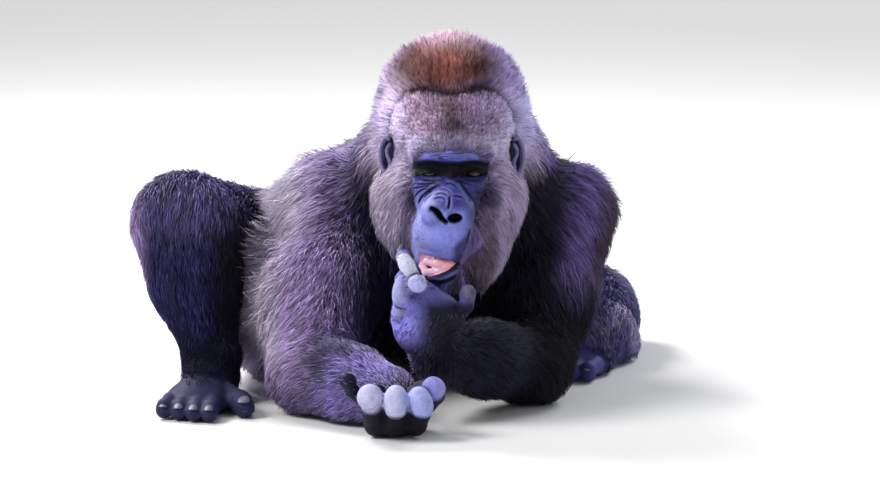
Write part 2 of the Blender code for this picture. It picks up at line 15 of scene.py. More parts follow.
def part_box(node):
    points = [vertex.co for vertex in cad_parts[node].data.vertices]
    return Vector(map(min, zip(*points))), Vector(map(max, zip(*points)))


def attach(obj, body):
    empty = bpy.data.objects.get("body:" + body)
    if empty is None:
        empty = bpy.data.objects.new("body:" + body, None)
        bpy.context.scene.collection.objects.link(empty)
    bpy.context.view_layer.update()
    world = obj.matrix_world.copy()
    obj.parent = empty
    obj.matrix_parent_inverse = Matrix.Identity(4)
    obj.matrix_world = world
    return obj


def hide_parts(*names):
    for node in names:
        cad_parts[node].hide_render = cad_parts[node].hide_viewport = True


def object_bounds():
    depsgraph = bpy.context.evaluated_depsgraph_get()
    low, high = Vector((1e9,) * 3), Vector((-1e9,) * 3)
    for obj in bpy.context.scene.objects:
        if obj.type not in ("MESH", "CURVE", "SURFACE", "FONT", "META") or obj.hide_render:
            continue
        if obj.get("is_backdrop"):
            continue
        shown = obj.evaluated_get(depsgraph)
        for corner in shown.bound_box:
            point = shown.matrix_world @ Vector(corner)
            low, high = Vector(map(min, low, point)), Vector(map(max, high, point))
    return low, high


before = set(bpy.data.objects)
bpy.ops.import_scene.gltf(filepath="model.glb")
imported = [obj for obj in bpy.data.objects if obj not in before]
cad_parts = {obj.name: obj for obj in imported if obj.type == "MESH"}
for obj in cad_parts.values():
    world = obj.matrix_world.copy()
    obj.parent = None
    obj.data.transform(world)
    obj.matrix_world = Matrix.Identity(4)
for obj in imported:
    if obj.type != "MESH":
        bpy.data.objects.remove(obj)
CAD_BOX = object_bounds()

EYE_X = 0.0287
EYE_Y = 0.1040
EYE_Z = 0.3286
EYE_RADIUS = 0.0118
CROWN_TOP = 0.5050

RIGHT_EYE_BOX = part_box("right_eye")
LEFT_EYE_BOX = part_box("left_eye")
EYES_IN_FRAME = (Vector(RIGHT_EYE_BOX[0]) + Vector(LEFT_EYE_BOX[1])) / 2
TO_FRAME = Matrix.Translation(EYES_IN_FRAME - Vector((0.0, EYE_Y, EYE_Z)))


# ---------------------------------------------------------------- forms and their fields


def turned(turn):
    """The rotation about X, Y and Z by angles in degrees."""
    angles = [math.radians(angle) for angle in turn]
    rotation = Matrix.Rotation(angles[2], 3, "Z") @ Matrix.Rotation(angles[1], 3, "Y")
    return rotation @ Matrix.Rotation(angles[0], 3, "X")


def ball(centre, radii, turn=(0.0, 0.0, 0.0)):
    """An ellipsoid. turn holds its rotation about X, Y and Z in degrees."""
    return {
        "kind": "ball",
        "centre": np.array(centre, float),
        "radii": np.array(radii, float),
        "rotation": np.array(turned(turn)),
    }


def limb(start, end, start_radius, end_radius):
    """A round bar with domed ends, whose radius changes evenly along its length."""
    return {
        "kind": "limb",
        "start": np.array(start, float),
        "end": np.array(end, float),
        "radii": np.array((start_radius, end_radius), float),
    }


def under_coat(forms, depth):
    """The same forms, smaller all round by the depth of the coat that covers them."""
    return [{**form, "radii": form["radii"] - depth} for form in forms]


def distance(form, points):
    """Roughly the distance of each point outside the form, negative inside it."""
    if form["kind"] == "ball":
        local = (points - form["centre"]) @ form["rotation"]
        near = np.linalg.norm(local / form["radii"], axis=1)
        slope = np.linalg.norm(local / form["radii"] ** 2, axis=1)
        return near * (near - 1.0) / np.maximum(slope, 1e-9)
    along = form["end"] - form["start"]
    share = np.clip((points - form["start"]) @ along / (along @ along), 0.0, 1.0)
    gap = np.linalg.norm(points - form["start"] - share[:, None] * along, axis=1)
    first, last = form["radii"]
    return gap - (first + share * (last - first))


def smooth_min(one, other, blend):
    """The nearer of two distances, with the edge between them rounded off."""
    near = np.maximum(blend - np.abs(one - other), 0.0) / blend
    return np.minimum(one, other) - near**2 * blend / 4.0


def blended(forms, blend, points):
    """Distance outside several forms that run softly into one another."""
    total = distance(forms[0], points)
    for form in forms[1:]:
        total = smooth_min(total, distance(form, points), blend)
    return total


def within(field, centre, reach, points):
    """A field's distances near a place, and a metre elsewhere, to save working out what can't matter."""
    total = np.full(len(points), 1.0)
    near = np.linalg.norm(points - np.array(centre), axis=1) < reach
    if near.any():
        total[near] = field(points[near])
    return total


def ramp(value, low, high):
    """A smooth step from 0 at low to 1 at high. low may be the larger."""
    share = np.clip((value - low) / (high - low), 0.0, 1.0)
    return share * share * (3.0 - 2.0 * share)


def direction(start, end):
    """The unit direction from one place to another."""
    along = np.array(end) - np.array(start)
    return along / np.linalg.norm(along)


def bump_at(value, centre, spread):
    """1 where the value is at the centre, falling away smoothly to both sides of it."""
    return np.exp(-(((value - centre) / spread) ** 2))


def near_to(place, points, reach):
    """1 at a place, falling smoothly to 0 at the reach."""
    return 1.0 - ramp(np.linalg.norm(points - np.array(place), axis=1), reach * 0.3, reach)


def smooth_line(*places):
    """Points along a smooth line near the places given, each a pair of numbers."""
    line = np.array(places, float)
    for _ in range(2):
        early, late = line[:-1] * 0.75 + line[1:] * 0.25, line[:-1] * 0.25 + line[1:] * 0.75
        middle = np.stack([early, late], axis=1).reshape(-1, 2)
        line = np.concatenate([line[:1], middle[1:-1], line[-1:]])
    return line


# ---------------------------------------------------------------- the body's masses

WITHERS = (-0.015, 0.430, 0.240)
CHEST = (-0.005, 0.360, 0.190)
ABDOMEN = (-0.060, 0.545, 0.165)
HIPS = (-0.085, 0.670, 0.132)
NAPE = (0.0, 0.330, 0.298)
RIGHT_FLANK = (-0.219, 0.385, 0.108)
LEFT_FLANK = (0.072, 0.455, 0.135)
RIGHT_SHOULDER = (-0.155, 0.388, 0.224)
LEFT_SHOULDER = (0.140, 0.388, 0.214)
RIGHT_ELBOW = (-0.188, 0.112, 0.058)
RIGHT_WRIST = (-0.085, 0.012, 0.045)
LEFT_ELBOW = (0.105, 0.190, 0.056)
LEFT_WRIST = (-0.018, 0.046, 0.094)
RIGHT_HIP = (-0.190, 0.600, 0.124)
RIGHT_KNEE = (-0.367, 0.300, 0.231)
RIGHT_ANKLE = (-0.325, 0.222, 0.052)
LEFT_HIP = (0.015, 0.625, 0.115)
LEFT_KNEE = (0.202, 0.655, 0.056)
LEFT_ANKLE = (0.216, 0.500, 0.042)
RIGHT_HEEL = (-0.325, 0.245, 0.0)
LEFT_HEEL = (0.226, 0.520, 0.0)
RIGHT_HEADING = (-0.12, -1.0)
LEFT_HEADING = (-0.42, -0.90)
NOSE = (-0.0045, 0.0400, 0.2860)
UPPER_LIP = (-0.0030, 0.0430, 0.2520)
CHIN = (-0.0130, 0.0560, 0.2035)

BACK_COAT = 0.017
ARM_COAT = 0.014
LEG_COAT = 0.011


def trunk_forms():
    """The nape, the withers, the chest and its flanks, the belly and the hips."""
    return under_coat(
        [
            ball(NAPE, (0.146, 0.122, 0.122)),
            ball(WITHERS, (0.168, 0.160, 0.116)),
            ball(CHEST, (0.185, 0.150, 0.142)),
            ball(RIGHT_FLANK, (0.108, 0.128, 0.132)),
            ball(LEFT_FLANK, (0.100, 0.130, 0.110)),
            ball(ABDOMEN, (0.200, 0.170, 0.168)),
            ball(HIPS, (0.178, 0.145, 0.146)),
        ],
        BACK_COAT,
    )


def arm_forms(side, shoulder, elbow, wrist):
    """An arm from shoulder to wrist: four forms above the elbow, then two below it."""
    shoulder, elbow, wrist = (np.array(place) for place in (shoulder, elbow, wrist))
    upper_middle = (shoulder + elbow) / 2
    forearm_middle = (elbow + wrist) / 2
    upper = [
        ball(shoulder, (0.083, 0.092, 0.093)),
        limb(shoulder, upper_middle, 0.082, 0.078),
        limb(upper_middle, elbow, 0.078, 0.058),
        ball(elbow + np.array((side * 0.004, 0.018, -0.004)), (0.056, 0.056, 0.056)),
    ]
    lower = [limb(elbow, forearm_middle, 0.056, 0.052)]
    end = [limb(forearm_middle, wrist, 0.052, 0.041)]
    return under_coat(upper, ARM_COAT) + under_coat(lower, 0.011) + under_coat(end, 0.0065)


def leg_forms(hip, knee, ankle, thickness):
    """A thigh, then a shin with its calf. thickness holds the radii of thigh, knee, calf and ankle."""
    hip, knee, ankle = (np.array(place) for place in (hip, knee, ankle))
    thigh_radius, knee_radius, calf_radius, ankle_radius = thickness
    calf = knee + (ankle - knee) * 0.42
    upper = [limb(hip, knee, thigh_radius, knee_radius)]
    lower = [
        limb(knee, calf, knee_radius * 0.97, calf_radius),
        limb(calf, ankle, calf_radius, ankle_radius),
    ]
    return under_coat(upper, LEG_COAT) + under_coat(lower, 0.007)


def foot_forms(side, heel, heading):
    """The sole, four toes and the big toe, which is set apart on the inner side."""
    heel = np.array(heel)
    ahead = np.array((*heading, 0.0)) / math.hypot(*heading)
    inward = np.array((ahead[1] * side, -ahead[0] * side, 0.0))

    def at(forward, across, height):
        return heel + ahead * forward + inward * across + np.array((0.0, 0.0, height))

    toes = []
    for count in range(4):
        across = 0.022 - 0.019 * count
        reach = 0.196 - 0.008 * count - (0.006 if count == 0 else 0.0)
        toes.append(
            [
                limb(at(0.138, across, 0.019), at(0.168, across * 1.08, 0.0170), 0.0125, 0.0105),
                limb(at(0.168, across * 1.08, 0.0170), at(reach, across * 1.12, 0.0120), 0.0105, 0.0108),
            ]
        )
    toes.append(
        [
            limb(at(0.085, 0.026, 0.021), at(0.125, 0.056, 0.017), 0.0175, 0.0150),
            limb(at(0.125, 0.056, 0.017), at(0.150, 0.066, 0.0145), 0.0150, 0.0140),
        ]
    )
    sole = [
        ball(at(0.0, 0.0, 0.024), (0.033, 0.033, 0.030)),
        limb(at(0.0, 0.0, 0.030), at(0.115, 0.0, 0.022), 0.034, 0.028),
        ball(at(0.118, -0.002, 0.018), (0.044, 0.044, 0.025)),
        limb(at(0.020, 0.0, 0.050), at(0.070, 0.0, 0.035), 0.034, 0.030),
    ]
    return sole, toes


def right_hand_forms():
    """The palm, then each finger: a chain of phalanges with a broad pad on its middle joint."""
    palm = [
        ball((-0.075, -0.018, 0.036), (0.044, 0.036, 0.032), (0, 0, 18)),
        limb(RIGHT_WRIST, (-0.078, -0.010, 0.036), 0.034, 0.034),
        ball((-0.076, -0.034, 0.018), (0.040, 0.034, 0.018), (0, 0, 14)),
    ]
    index = chain([(-0.094, -0.020, 0.020), (-0.100, -0.050, 0.018), (-0.105, -0.070, 0.046)], 0.0152)
    index += [ball((-0.1070, -0.084, 0.0600), (0.0172, 0.0160, 0.0178))]
    index += chain([(-0.106, -0.076, 0.061), (-0.098, -0.052, 0.059)], 0.0135)
    middle = chain([(-0.077, -0.024, 0.019), (-0.075, -0.054, 0.018), (-0.073, -0.074, 0.042)], 0.0154)
    middle += [ball((-0.0735, -0.089, 0.0545), (0.0160, 0.0162, 0.0232))]
    middle += chain([(-0.073, -0.080, 0.062), (-0.072, -0.054, 0.059)], 0.0135)
    ring = chain([(-0.056, -0.022, 0.019), (-0.048, -0.052, 0.019), (-0.040, -0.072, 0.043)], 0.0150)
    ring += [ball((-0.0405, -0.087, 0.0530), (0.0158, 0.0160, 0.0215), (0, -16, 0))]
    ring += chain([(-0.043, -0.078, 0.060), (-0.048, -0.052, 0.058)], 0.0135)
    little = chain([(-0.032, -0.026, 0.040), (-0.022, -0.052, 0.057), (-0.027, -0.064, 0.070)], 0.0120)
    little += [ball((-0.0230, -0.066, 0.0700), (0.0135, 0.0122, 0.0155), (0, -42, 0))]
    little += chain([(-0.028, -0.060, 0.068), (-0.040, -0.040, 0.064)], 0.0115)
    thumb = chain([(-0.120, -0.012, 0.046), (-0.132, -0.032, 0.060), (-0.1375, -0.040, 0.0735)], 0.0092)
    thumb += [ball((-0.1375, -0.041, 0.0755), (0.0128, 0.0105, 0.0095), (0, 8, 20))]
    return palm, [index, middle, ring, little, thumb]


def left_hand_forms():
    """The raised hand's palm, then its forms: index finger, index tip, other fingers, thumb."""
    palm = [
        ball((-0.042, 0.008, 0.146), (0.036, 0.027, 0.043), (0, 12, 0)),
        ball((-0.010, 0.006, 0.158), (0.030, 0.021, 0.021), (0, 40, 0)),
        limb(LEFT_WRIST, (-0.040, 0.020, 0.135), 0.031, 0.031),
        limb((-0.014, -0.004, 0.166), (-0.034, -0.014, 0.190), 0.0130, 0.0115),
    ]
    index = chain([(-0.026, -0.010, 0.184), (-0.043, -0.028, 0.1995)], 0.0108)
    index += [ball((-0.0462, -0.0360, 0.2030), (0.0122, 0.0112, 0.0120))]
    index_tip = chain([(-0.0515, -0.0260, 0.2135), (-0.0655, -0.0220, 0.2360)], 0.0082)
    index_tip += [ball((-0.0592, -0.0300, 0.2262), (0.0108, 0.0095, 0.0158), (0, -30, 0))]
    index_tip += chain([(-0.0655, -0.0200, 0.2360), (-0.0580, -0.0040, 0.2360)], 0.0080)
    middle = chain([(-0.048, -0.010, 0.174), (-0.068, -0.018, 0.178)], 0.0100)
    middle += [ball((-0.0695, -0.0220, 0.1925), (0.0086, 0.0100, 0.0190), (0, 13, 0))]
    middle += chain([(-0.067, -0.012, 0.205), (-0.060, 0.004, 0.211)], 0.0086)
    ring = chain([(-0.060, -0.002, 0.153), (-0.070, -0.006, 0.158)], 0.0098)
    ring += [ball((-0.0710, -0.0090, 0.1640), (0.0080, 0.0095, 0.0135), (0, 14, 0))]
    ring += chain([(-0.070, 0.000, 0.172), (-0.066, 0.014, 0.178)], 0.0082)
    little = chain([(-0.062, 0.014, 0.140), (-0.071, 0.014, 0.146), (-0.071, 0.028, 0.158)], 0.0092)
    thumb = chain([(0.008, 0.002, 0.156), (0.0185, -0.004, 0.168), (0.0205, -0.003, 0.1855)], 0.0096)
    thumb += [ball((0.0203, -0.0045, 0.1830), (0.0100, 0.0086, 0.0128), (0, 3, 0))]
    return palm, [index, index_tip, middle, ring, little, thumb]


def chain(joints, radius):
    """Bars from joint to joint, hardly tapering."""
    return [limb(start, end, radius, radius * 0.97) for start, end in zip(joints, joints[1:])]


def skull_forms():
    """The head out to the tips of its coat. The coat's depth is taken off it by place."""
    forms = []
    for side in (-1.0, 1.0):
        forms.append(ball((side * 0.032, 0.264, 0.383), (0.079, 0.098, CROWN_TOP - 0.397)))
        forms.append(ball((side * 0.022, 0.205, 0.383), (0.064, 0.088, 0.106)))
    return [
        *forms,
        ball((-0.058, 0.170, 0.276), (0.049, 0.078, 0.080), (0, -8, 0)),
        ball((0.049, 0.170, 0.277), (0.048, 0.078, 0.080), (0, 15, 0)),
        ball((0.0, 0.250, 0.390), (0.074, 0.098, CROWN_TOP - 0.390)),
        ball((0.0, 0.160, 0.372), (0.079, 0.078, 0.062)),
        ball((0.0, 0.130, 0.255), (0.072, 0.075, 0.075)),
        ball((0.016, 0.120, 0.216), (0.052, 0.070, 0.050)),
    ]


def face_forms():
    """The bare face: brow, cheekbones, the broad nose, and the lips, drawn up on the animal's right."""
    forms = []
    for side in (-1.0, 1.0):
        forms.append(ball((side * 0.036, 0.102, 0.299), (0.033, 0.036, 0.032)))
        brow_end = (side * 0.0420, 0.0975, 0.3550)
        forms.append(limb((side * 0.008, 0.0885, 0.3580), brow_end, 0.0162, 0.0135))
    return [
        *forms,
        limb((0.0, 0.0985, 0.3280), NOSE, 0.0165, 0.0240),
        ball((-0.0045, 0.0400, 0.2865), (0.0345, 0.0390, 0.0265), (24, 0, 0)),
        ball(UPPER_LIP, (0.0465, 0.0480, 0.0310)),
        ball((-0.0310, 0.0560, 0.2530), (0.0250, 0.0420, 0.0290)),
        ball((-0.0350, 0.0500, 0.2280), (0.0190, 0.0350, 0.0300)),
        ball((-0.0100, 0.0330, 0.2070), (0.0300, 0.0270, 0.0150), (0, 12, 0)),
        ball(CHIN, (0.0380, 0.0450, 0.0250)),
    ]


def nose_forms():
    """The two wings of the nose and the tip between them."""
    return [
        ball((-0.0225, 0.0280, 0.2895), (0.0195, 0.0285, 0.0185), (22, 28, 0)),
        ball((0.0130, 0.0290, 0.2870), (0.0185, 0.0290, 0.0180), (22, -20, 0)),
        ball((-0.0045, 0.0290, 0.2930), (0.0160, 0.0270, 0.0160), (32, 0, 0)),
    ]


EAR = (0.0840, 0.1630, 0.3435)


def ear_at(side):
    """Turns (forward, out, up) in the ear's own directions into a place."""
    flare = np.array(turned((0.0, 0.0, -side * 38.0)))

    def at(forward, out, up):
        return np.array(EAR) * (side, 1.0, 1.0) + flare @ np.array((side * out, -forward, up))

    return at


def ear_rims(side):
    """The rolled rim round the ear's back, and the ridge that winds down inside it."""
    at = ear_at(side)
    rim = smooth_line(
        (0.0060, 0.0230),
        (0.0020, 0.0275),
        (-0.0096, 0.0160),
        (-0.0125, 0.0018),
        (-0.0115, -0.0100),
        (-0.0067, -0.0195),
        (-0.0010, -0.0250),
    )
    ridge = smooth_line(
        (0.0040, 0.0165),
        (-0.0022, 0.0095),
        (-0.0016, 0.0024),
        (0.0049, -0.0071),
        (0.0066, -0.0105),
        (0.0039, -0.0155),
        (0.0019, -0.0219),
    )
    bars = []
    for line, out, radius in ((rim, 0.0055, 0.0021), (ridge, 0.0035, 0.0013)):
        places = [at(forward, out, up) for forward, up in line]
        bars += [limb(start, end, radius, radius) for start, end in zip(places, places[1:])]
    return bars


def ear_forms(side):
    """A tall, narrow ear: a thin cupped shell, its rim and ridge, and the lobe."""
    at = ear_at(side)
    shell = ball(at(-0.0005, -0.0005, 0.0), (0.0030, 0.0125, 0.0285), (0.0, 0.0, -side * 38.0))
    root = limb(at(-0.002, -0.010, 0.0), at(0.0, -0.002, 0.0), 0.0080, 0.0060)
    lobe = ball(at(0.0010, 0.0030, -0.0245), (0.0035, 0.0040, 0.0050))
    return [shell, root, lobe, *ear_rims(side)]


TRUNK = trunk_forms()
RIGHT_ARM = arm_forms(-1.0, RIGHT_SHOULDER, RIGHT_ELBOW, RIGHT_WRIST)
LEFT_ARM = arm_forms(1.0, LEFT_SHOULDER, LEFT_ELBOW, LEFT_WRIST)
RIGHT_LEG = leg_forms(RIGHT_HIP, RIGHT_KNEE, RIGHT_ANKLE, (0.094, 0.073, 0.064, 0.036))
LEFT_LEG = leg_forms(LEFT_HIP, LEFT_KNEE, LEFT_ANKLE, (0.092, 0.062, 0.058, 0.038))
RIGHT_FOOT = foot_forms(-1.0, RIGHT_HEEL, RIGHT_HEADING)
LEFT_FOOT = foot_forms(1.0, LEFT_HEEL, LEFT_HEADING)
RIGHT_HAND = right_hand_forms()
LEFT_HAND = left_hand_forms()
SKULL = skull_forms()
FACE = face_forms()
NOSE_WINGS = nose_forms()

# The bare face from under the chin to over the brow: a height, and where it ends on its right and left.
FACE_EDGE = [
    (0.178, 0.020, -0.020),
    (0.192, -0.030, 0.000),
    (0.205, -0.042, 0.008),
    (0.222, -0.049, 0.013),
    (0.240, -0.054, 0.018),
    (0.262, -0.054, 0.024),
    (0.283, -0.048, 0.031),
    (0.300, -0.049, 0.036),
    (0.318, -0.053, 0.044),
    (0.330, -0.054, 0.050),
    (0.3455, -0.053, 0.052),
    (0.3505, -0.042, 0.036),
    (0.358, -0.036, 0.030),
    (0.364, 0.020, -0.020),
]


def bareness(points):
    """1 on the bare face, 0 on the coat."""
    heights, right_edge, left_edge = np.array(FACE_EDGE).T
    right = points[:, 0] - np.interp(points[:, 2], heights, right_edge)
    left = np.interp(points[:, 2], heights, left_edge) - points[:, 0]
    inside = np.minimum(right, left) + 0.0018 * scatter(points, 0.009, 31)
    return ramp(inside, -0.004, 0.004) * ramp(points[:, 1], 0.165, 0.140)


def crease_of_hood(points):
    """How far each point lies behind the crease that frames the forehead and runs down to the ears."""
    x, y, z = points.T
    back = 0.1315 - 0.0060 * bump_at(x, 0.0, 0.055) + 0.048 * (x / 0.090) ** 2
    return y - back + 0.25 * (z - 0.436)


def hood(points):
    """1 on the crown and the sides behind the crease, 0 in front of it."""
    return ramp(crease_of_hood(points), -0.002, 0.006)


def cheek(points):
    """1 on the coat of the cheeks and jaw."""
    return ramp(points[:, 2], 0.345, 0.315) * (1.0 - bareness(points))


def head_coat_depth(points):
    """How deep the head's coat is at each point: short on the face's rim, deep behind the crease."""
    depth = 0.0035 + 0.0125 * ramp(crease_of_hood(points), -0.004, 0.018)
    depth += 0.0045 * ramp(points[:, 2], 0.415, 0.460) * hood(points)
    depth += (0.0085 - depth) * cheek(points) * (1.0 - ramp(points[:, 1], 0.20, 0.26))
    return 0.0003 + depth * (1.0 - bareness(points))


def hand_field(hand, points):
    """Distance outside a hand: the palm and its fingers."""
    palm, fingers = hand

    def field(near):
        total = blended(palm, 0.015, near)
        for finger in fingers:
            total = smooth_min(total, blended(finger, 0.0040, near), 0.0035)
        return total

    return within(field, palm[0]["centre"], 0.125, points)


def foot_field(foot, points):
    """Distance outside a foot: the sole and its toes."""
    sole, toes = foot

    def field(near):
        total = blended(sole, 0.015, near)
        for toe in toes:
            total = smooth_min(total, blended(toe, 0.006, near), 0.004)
        return total

    return within(field, (sole[0]["centre"] + sole[2]["centre"]) / 2, 0.165, points)


def head_shape(points):
    """Distance outside the head's skin: its sockets and the nose's root cut in, its lids laid over."""
    skull = blended(SKULL, 0.020, points)
    face = blended(FACE, 0.010, points)
    total = smooth_min(skull, face, 0.020)
    total = smooth_min(total, blended(NOSE_WINGS, 0.0045, points), 0.0055)
    total = total + head_coat_depth(points)
    root_of_nose = distance(ball((0.0, 0.0660, 0.3375), (0.0240, 0.0185, 0.0085)), points)
    total = -smooth_min(-total, root_of_nose, 0.0080)
    for side in (-1.0, 1.0):
        socket = distance(ball((side * EYE_X * 1.05, 0.0735, 0.3325), (0.0265, 0.0262, 0.0125)), points)
        total = -smooth_min(-total, socket, 0.0080)
        lids = distance(ball((side * EYE_X, EYE_Y, EYE_Z), (0.0150, 0.0132, 0.0128)), points)
        total = smooth_min(total, lids, 0.0045)
        # The cheek falls away in front of the ear.
        away = (points - np.array((side * 0.0920, 0.1500, 0.3430))) / (0.0125, 0.0300, 0.0250)
        total = total + 0.0150 * np.exp(-(away**2).sum(axis=1))
    return total


def head_field(points):
    """Distance outside the head's skin, near it."""
    return within(head_shape, (0.0, 0.190, 0.335), 0.275, points)


def skin_field(points):
    """Distance outside the whole skin. Parts that only lie side by side are kept from running together."""
    trunk = blended(TRUNK, 0.045, points)
    total = smooth_min(trunk, head_field(points), 0.030)
    for forms, root in ((RIGHT_ARM, RIGHT_SHOULDER), (LEFT_ARM, LEFT_SHOULDER)):
        blend = 0.006 + 0.034 * near_to(root, points, 0.20)
        total = smooth_min(total, blended(forms, 0.025, points), blend)
    for forms, root in ((RIGHT_LEG, RIGHT_HIP), (LEFT_LEG, LEFT_HIP)):
        blend = 0.006 + 0.034 * near_to(root, points, 0.22)
        total = smooth_min(total, blended(forms, 0.025, points), blend)
    for hand, wrist in ((RIGHT_HAND, RIGHT_WRIST), (LEFT_HAND, LEFT_WRIST)):
        blend = 0.0015 + 0.016 * near_to(wrist, points, 0.070)
        total = smooth_min(total, hand_field(hand, points), blend)
    for foot, ankle in ((RIGHT_FOOT, RIGHT_ANKLE), (LEFT_FOOT, LEFT_ANKLE)):
        blend = 0.0020 + 0.018 * near_to(ankle, points, 0.090)
        total = smooth_min(total, foot_field(foot, points), blend)
    return total


def slope_of(field, points, height, nudge=0.0003):
    """The field's slope at each point, given its height there."""
    slope = np.empty_like(points)
    for axis in range(3):
        ahead = points.copy()
        ahead[:, axis] += nudge
        slope[:, axis] = (field(ahead) - height) / nudge
    return slope


def draw_on_to(field, points, steps, most=0.004):
    """Moves points along the field's slope until they lie on its surface."""
    for step in range(steps):
        height = field(points)
        if step % 2 == 0:
            slope = slope_of(field, points, height)
            steep = np.maximum((slope**2).sum(axis=1), 0.3)
        move = 0.85 * (height / steep)[:, None] * slope
        length = np.linalg.norm(move, axis=1, keepdims=True)
        points = points - move * np.minimum(1.0, most / np.maximum(length, 1e-9))
    return points


# ---------------------------------------------------------------- meshes


def form_mesh(form):
    """A mesh of one form, of its own."""
    bm = bmesh.new()
    if form["kind"] == "ball":
        place = Matrix.Translation(form["centre"]) @ Matrix(form["rotation"]).to_4x4()
        place = place @ Matrix.Diagonal((*form["radii"], 1.0))
        bmesh.ops.create_uvsphere(bm, u_segments=20, v_segments=14, radius=1.0, matrix=place)
    else:
        start, end = Vector(form["start"]), Vector(form["end"])
        turn = (end - start).to_track_quat("Z", "Y").to_matrix().to_4x4()
        first, last = form["radii"]
        bmesh.ops.create_cone(
            bm,
            cap_ends=True,
            segments=16,
            radius1=first,
            radius2=last,
            depth=(end - start).length,
            matrix=Matrix.Translation((start + end) / 2) @ turn,
        )
        for centre, radius in ((start, first), (end, last)):
            place = Matrix.Translation(centre)
            bmesh.ops.create_uvsphere(bm, u_segments=16, v_segments=12, radius=radius, matrix=place)
    mesh = bpy.data.meshes.new("form")
    bm.to_mesh(mesh)
    bm.free()
    return mesh


def new_object(name, bm):
    """An object in the scene with the bmesh's mesh."""
    mesh = bpy.data.meshes.new(name)
    bm.to_mesh(mesh)
    bm.free()
    made = bpy.data.objects.new(name, mesh)
    bpy.context.scene.collection.objects.link(made)
    return made


def freeze(made):
    """Replaces an object's mesh by the mesh its modifiers give, and clears them."""
    bpy.context.view_layer.update()
    graph = bpy.context.evaluated_depsgraph_get()
    mesh = bpy.data.meshes.new_from_object(made.evaluated_get(graph))
    old = made.data
    made.modifiers.clear()
    made.data = mesh
    bpy.data.meshes.remove(old)
    mesh.name = made.name


def fused(name, forms, cell):
    """One closed mesh from overlapping forms."""
    bm = bmesh.new()
    for form in forms:
        mesh = form_mesh(form)
        bm.from_mesh(mesh)
        bpy.data.meshes.remove(mesh)
    made = new_object(name, bm)
    remesh = made.modifiers.new("fuse", "REMESH")
    remesh.mode = "VOXEL"
    remesh.voxel_size = cell
    freeze(made)
    return made


def points_of(mesh, what="co"):
    """Each vertex's place or, with "normal", the way it faces."""
    values = np.empty(len(mesh.vertices) * 3)
    mesh.vertices.foreach_get(what, values)
    return values.reshape(-1, 3)


def place_points(mesh, points):
    """Moves every vertex to its new place."""
    mesh.vertices.foreach_set("co", np.ascontiguousarray(points).reshape(-1))
    mesh.update()


def refine(made, wanted):
    """Divides the faces of a mesh where wanted is above zero, once."""
    bm = bmesh.new()
    bm.from_mesh(made.data)
    middles = np.array([face.calc_center_median() for face in bm.faces])
    chosen = wanted(middles) > 0.0
    edges = set()
    for face, inside in zip(bm.faces, chosen):
        if inside:
            edges.update(face.edges)
    bmesh.ops.subdivide_edges(bm, edges=list(edges), cuts=1, use_grid_fill=True)
    bm.to_mesh(made.data)
    bm.free()


def in_hands(points):
    """Above zero on the hands and 5 mm round them."""
    near = np.minimum(hand_field(RIGHT_HAND, points), hand_field(LEFT_HAND, points))
    return 0.005 - near


def in_toes(points, reach):
    """Above zero on the toes and as far round them as the reach."""
    toes = sum(RIGHT_FOOT[1], []), sum(LEFT_FOOT[1], [])
    return reach - np.minimum(blended(toes[0], 0.004, points), blended(toes[1], 0.004, points))


def fine_parts(points):
    """Above zero on the face, the hands and the toes, with a margin round them."""
    x, y, z = points.T
    face = (y < 0.140) & (np.abs(x) < 0.072) & (z > 0.175) & (z < 0.385)
    return np.maximum.reduce([face * 1.0, in_hands(points) + 0.006, in_toes(points, 0.012)])


def finer_parts(points):
    """Above zero on the bare face, the hands' front and the toes."""
    hands = in_hands(points) * (points[:, 1] < 0.020)
    return np.maximum.reduce([bareness(points) - 0.05, hands, in_toes(points, 0.001)])


def finest_parts(points):
    """Above zero round the eyes, on the nose, round the mouth and on the fingers that face forward."""
    x, y, z = points.T
    eyes = 0.030 - np.hypot(np.abs(x) - EYE_X, (z - 0.316) * 1.1)
    nose = 0.036 - np.hypot(x + 0.0045, (z - 0.290) * 1.15)
    mouth = 0.034 - np.hypot(x + 0.014, (z - 0.221) * 1.3)
    front = (y < 0.115) * (bareness(points) > 0.3)
    face = np.maximum.reduce([eyes, nose, mouth]) * front
    fist = (in_hands(points) > 0) & (y < -0.062) & (z > 0.026)
    other = (in_hands(points) > 0) & (z > 0.158) & (y < -0.001)
    return np.maximum(face, (fist | other) * 1.0)


def creased_parts(points):
    """Above zero along the face's folds, the lids and the edges of the nostrils and mouth."""
    _, folds, _ = fold_marks(points)
    lids = 0.0022 - np.minimum(np.abs(eye_slit(points, -1.0)), np.abs(eye_slit(points, 1.0)))
    lids[np.abs(points[:, 2] - EYE_Z) > 0.010] = -1.0
    edges = 0.0020 - np.minimum(np.abs(nostril_edge(points)), np.abs(inside_shape(MOUTH_CORNERS, points)))
    front = (points[:, 1] < 0.115) * (bareness(points) > 0.3)
    return np.maximum.reduce([folds - 0.12, lids, edges]) * front


# ---------------------------------------------------------------- the face's folds and openings


def off_curve(curve, points):
    """(distance from the curve, share along it) for each point, seen from the front."""
    flat = points[:, (0, 2)]
    best = np.full(len(flat), 1.0)
    place = np.zeros(len(flat))
    count = len(curve) - 1
    for step in range(count):
        start, along = curve[step], curve[step + 1] - curve[step]
        share = np.clip((flat - start) @ along / (along @ along), 0.0, 1.0)
        gap = np.linalg.norm(flat - start - share[:, None] * along, axis=1)
        closer = gap < best
        best = np.where(closer, gap, best)
        place = np.where(closer, (step + share) / count, place)
    return best, place


CLOSED_LIPS = (0.0040, 0.2200), (0.0130, 0.2190), (0.0220, 0.2195), (0.0320, 0.2240)
FOLD_DEPTH = 1.10


